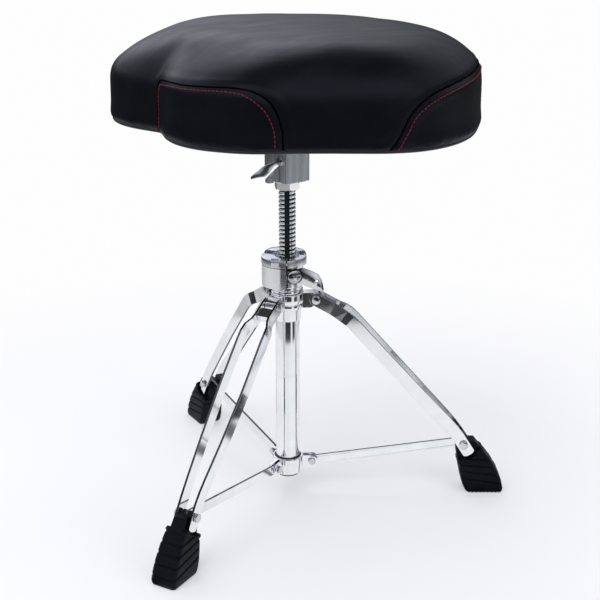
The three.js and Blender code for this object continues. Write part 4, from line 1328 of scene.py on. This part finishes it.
# brightness of the floor in reflections by direction, in degrees from the camera's side
# (positive to its right): close in, further out and beyond the lamps
FLOOR_TINT = (0.985, 0.995, 1.01)
FLOOR_NEAR = [
    (-180, 0.8), (-120, 0.92), (-60, 0.97), (-37.5, 0.96), (-36, 0.10), (-32, 0.10),
    (-30.5, 0.97), (-12, 0.92), (0, 0.88), (14, 0.94), (40, 0.97), (79, 0.96), (81, 0.12),
    (88, 0.12), (90, 0.95), (130, 0.9), (180, 0.8)]
FLOOR_FAR = [
    (-180, 0.45), (-125, 0.55), (-95, 0.72), (-70, 0.74), (-44, 0.70), (-34, 0.68),
    (-22, 0.76), (-17, 0.035), (28, 0.035), (32, 0.9), (44, 0.92), (48, 0.05), (66, 0.05),
    (74, 0.55), (98, 0.9), (130, 0.6), (180, 0.45)]
FLOOR_OUTER = [
    (-180, 0.25), (-125, 0.14), (-95, 0.14), (-75, 0.25), (-58, 0.30), (-46, 0.42),
    (-30, 0.42), (-20, 0.10), (0, 0.05), (16, 0.06), (24, 0.5), (36, 0.85), (60, 0.95),
    (98, 0.95), (120, 0.35), (180, 0.25)]


def tinted(stops, tint):
    return [(place, tuple(level * part for part in tint)) for place, level in stops]


def azimuth(tree, x, y):
    """Direction as a share of a turn: 0.5 towards the camera, more to its right."""
    angle = calc(tree, "ARCTAN2", x, calc(tree, "MULTIPLY", y, -1.0))
    return calc(tree, "ADD", calc(tree, "DIVIDE", angle, 2 * math.pi), 0.5)


def floor_paper():
    """White paper; polished metal sees it bright close in, darker and flagged further out."""
    material, tree, surface = new_material("floor_paper")
    cloud = noise(tree, coords(tree), scale=3, detail=3)
    tone = two_tone(tree, cloud, dark=(0.86, 0.86, 0.865), light=(0.88, 0.88, 0.885))
    feed(tree, surface, {"Base Color": tone, "Roughness": 0.9, "Specular IOR Level": 0.1})
    place = node(tree, "NewGeometry").outputs["Position"]
    local = node(tree, "Mapping", {"Location": (AXIS.x, AXIS.y, 0), "Rotation": (0, 0, TURN),
                                   0: place}, vector_type="TEXTURE").outputs[0]
    x, y, _ = node(tree, "SeparateXYZ", {0: local}).outputs
    direction = azimuth(tree, x, y)
    squares = [calc(tree, "MULTIPLY", value, value) for value in (x, y)]
    radius = calc(tree, "SQRT", calc(tree, "ADD", *squares))
    near, far, outer = (
        ramp(tree, direction, tinted([((a + 180) / 360, v) for a, v in stops], FLOOR_TINT))
        for stops in (FLOOR_NEAR, FLOOR_FAR, FLOOR_OUTER))
    to_far = remap(tree, radius, source=(0.635, 0.65), to=(0.0, 1.0))
    to_outer = remap(tree, radius, source=(1.25, 1.38), to=(0.0, 1.0))
    colour = mix(tree, to_outer, mix(tree, to_far, near, far), outer)
    # falls away to a dark studio beyond the lamps
    dim = remap(tree, radius, source=(1.66, 1.95), to=(1.0, 0.2))
    reflected = node(tree, "Emission", {0: colour, 1: dim})
    white = node(tree, "Emission", {0: PAPER_WHITE})
    to_white = remap(tree, radius, source=(0.36, 0.9), to=(0.36, 1.0))
    plain = mix_shader(tree, to_white, surface, white)
    glossy = node(tree, "LightPath").outputs["Is Glossy Ray"]
    shown = mix_shader(tree, glossy, plain, reflected)
    tree.links.new(shown.outputs[0], tree.nodes["Material Output"].inputs[0])
    return material


def make_floor():
    profile = [(12000, -20.0), (12000, -0.15)]
    floor = solid("floor", lathe(profile, 64, ring=False), SEAT, smooth=False)
    paint(floor, floor_paper())


# ------------------------------------------------------------------ world, lamps and camera
# brightness of the walls by direction, as a share of a turn with 0.5 towards the camera
WALL_TINT = (0.95, 0.965, 1.09)
WALLS = [
    (0.00, 0.95), (0.03, 1.38), (0.08, 1.42), (0.12, 0.85), (0.20, 0.62), (0.285, 0.85),
    (0.305, 0.16), (0.33, 0.14), (0.35, 0.92), (0.44, 1.0), (0.472, 0.62), (0.50, 0.55),
    (0.53, 0.98), (0.60, 0.95), (0.66, 0.80), (0.675, 0.18), (0.70, 0.16), (0.715, 0.60),
    (0.80, 0.50), (0.90, 0.32), (0.97, 0.42), (1.0, 0.80)]
# brightness by height, from straight down to straight up
WALL_HEIGHT = [
    (0.0, 0.5), (0.495, 0.05), (0.545, 0.06), (0.575, 0.42), (0.61, 0.72), (0.655, 1.02),
    (0.70, 1.15), (0.80, 1.18), (0.895, 1.12), (0.925, 0.45), (0.95, 0.06), (0.97, 0.02),
    (1.0, 0.02)]
# lamps: name, away from the camera, to its right, height, size (m), power (W)
LAMPS = [("key", -1.0, -0.9, 2.4, 1.8, 26), ("top", 0.6, 0.0, 2.7, 2.4, 30),
         ("fill", -1.6, 1.8, 1.4, 1.6, 12)]
AWAY = Vector((-math.sin(TURN), math.cos(TURN), 0))
RIGHT = Vector((math.cos(TURN), math.sin(TURN), 0))
FOOT_OF_AXIS = Vector((AXIS.x, AXIS.y, 0))
CAMERA_TILT = math.radians(18.889)


def make_world():
    """White walls with a few dark flags; the camera itself sees plain white."""
    world = bpy.data.worlds.new("studio")
    SCENE.world = world
    world.use_nodes = True
    tree = world.node_tree
    tree.nodes.clear()
    output = node(tree, "OutputWorld")
    # turned so that local +Y is away from the camera
    source = node(tree, "TexCoord").outputs["Generated"]
    local = node(tree, "Mapping", {"Rotation": (0, 0, -TURN), 0: source}).outputs[0]
    x, y, z = node(tree, "SeparateXYZ", {0: local}).outputs
    direction = azimuth(tree, x, y)
    height = calc(tree, "ADD", calc(tree, "MULTIPLY", z, 0.5), 0.5)
    walls = ramp(tree, direction, tinted(WALLS, WALL_TINT))
    studio = mix(tree, 1.0, walls, ramp(tree, height, WALL_HEIGHT), "MULTIPLY")
    lit = node(tree, "Background", {0: studio})
    white = node(tree, "Background", {0: PAPER_WHITE})
    camera_ray = node(tree, "LightPath").outputs["Is Camera Ray"]
    shown = mix_shader(tree, camera_ray, lit, white)
    tree.links.new(shown.outputs[0], output.inputs[0])


def aim(ob, direction):
    ob.rotation_mode = "QUATERNION"
    ob.rotation_quaternion = direction.to_track_quat("-Z", "Y")


def make_lamps():
    target = FOOT_OF_AXIS + Vector((0, 0, 0.35))
    for name, away, right, height, size, power in LAMPS:
        light = bpy.data.lights.new(name, "AREA")
        light.shape = "RECTANGLE"
        light.size = light.size_y = size
        light.energy = power
        lamp = bpy.data.objects.new(name, light)
        place = FOOT_OF_AXIS + AWAY * away + RIGHT * right + Vector((0, 0, height))
        lamp.location = place
        aim(lamp, target - place)
        SCENE.collection.objects.link(lamp)
        lamp.visible_camera = False
        lamp.visible_glossy = False


def make_camera():
    camera = bpy.data.cameras.new("camera")
    camera.lens = 72.24
    camera.sensor_width = 36
    camera.clip_start, camera.clip_end = 0.05, 60
    ob = bpy.data.objects.new("camera", camera)
    SCENE.collection.objects.link(ob)
    ob.location = FOOT_OF_AXIS + RIGHT * 0.01468 - AWAY * 1.33573 + Vector((0, 0, 0.70148))
    aim(ob, AWAY * math.cos(CAMERA_TILT) - Vector((0, 0, 1)) * math.sin(CAMERA_TILT))
    SCENE.camera = ob
    SCENE.view_settings.view_transform = "Standard"
    SCENE.view_settings.look = "None"
    SCENE.view_settings.exposure = 0.0
    SCENE.view_settings.gamma = 1.0


# ------------------------------------------------------------------ build
finish_cad()
cushion_surface = make_cushion()
make_seams(cushion_surface)
make_stitches(cushion_surface)
make_piping()
make_rod()
make_tube()
make_hub()
make_neck()
make_housing()
make_lever()
make_ring()
make_bracket()
make_seat_lever()
make_seat_screw()
make_nut()
for leg_number, leg_name in enumerate(LEGS):
    make_foot(leg_number, leg_name)
make_floor()
make_world()
make_lamps()
make_camera()
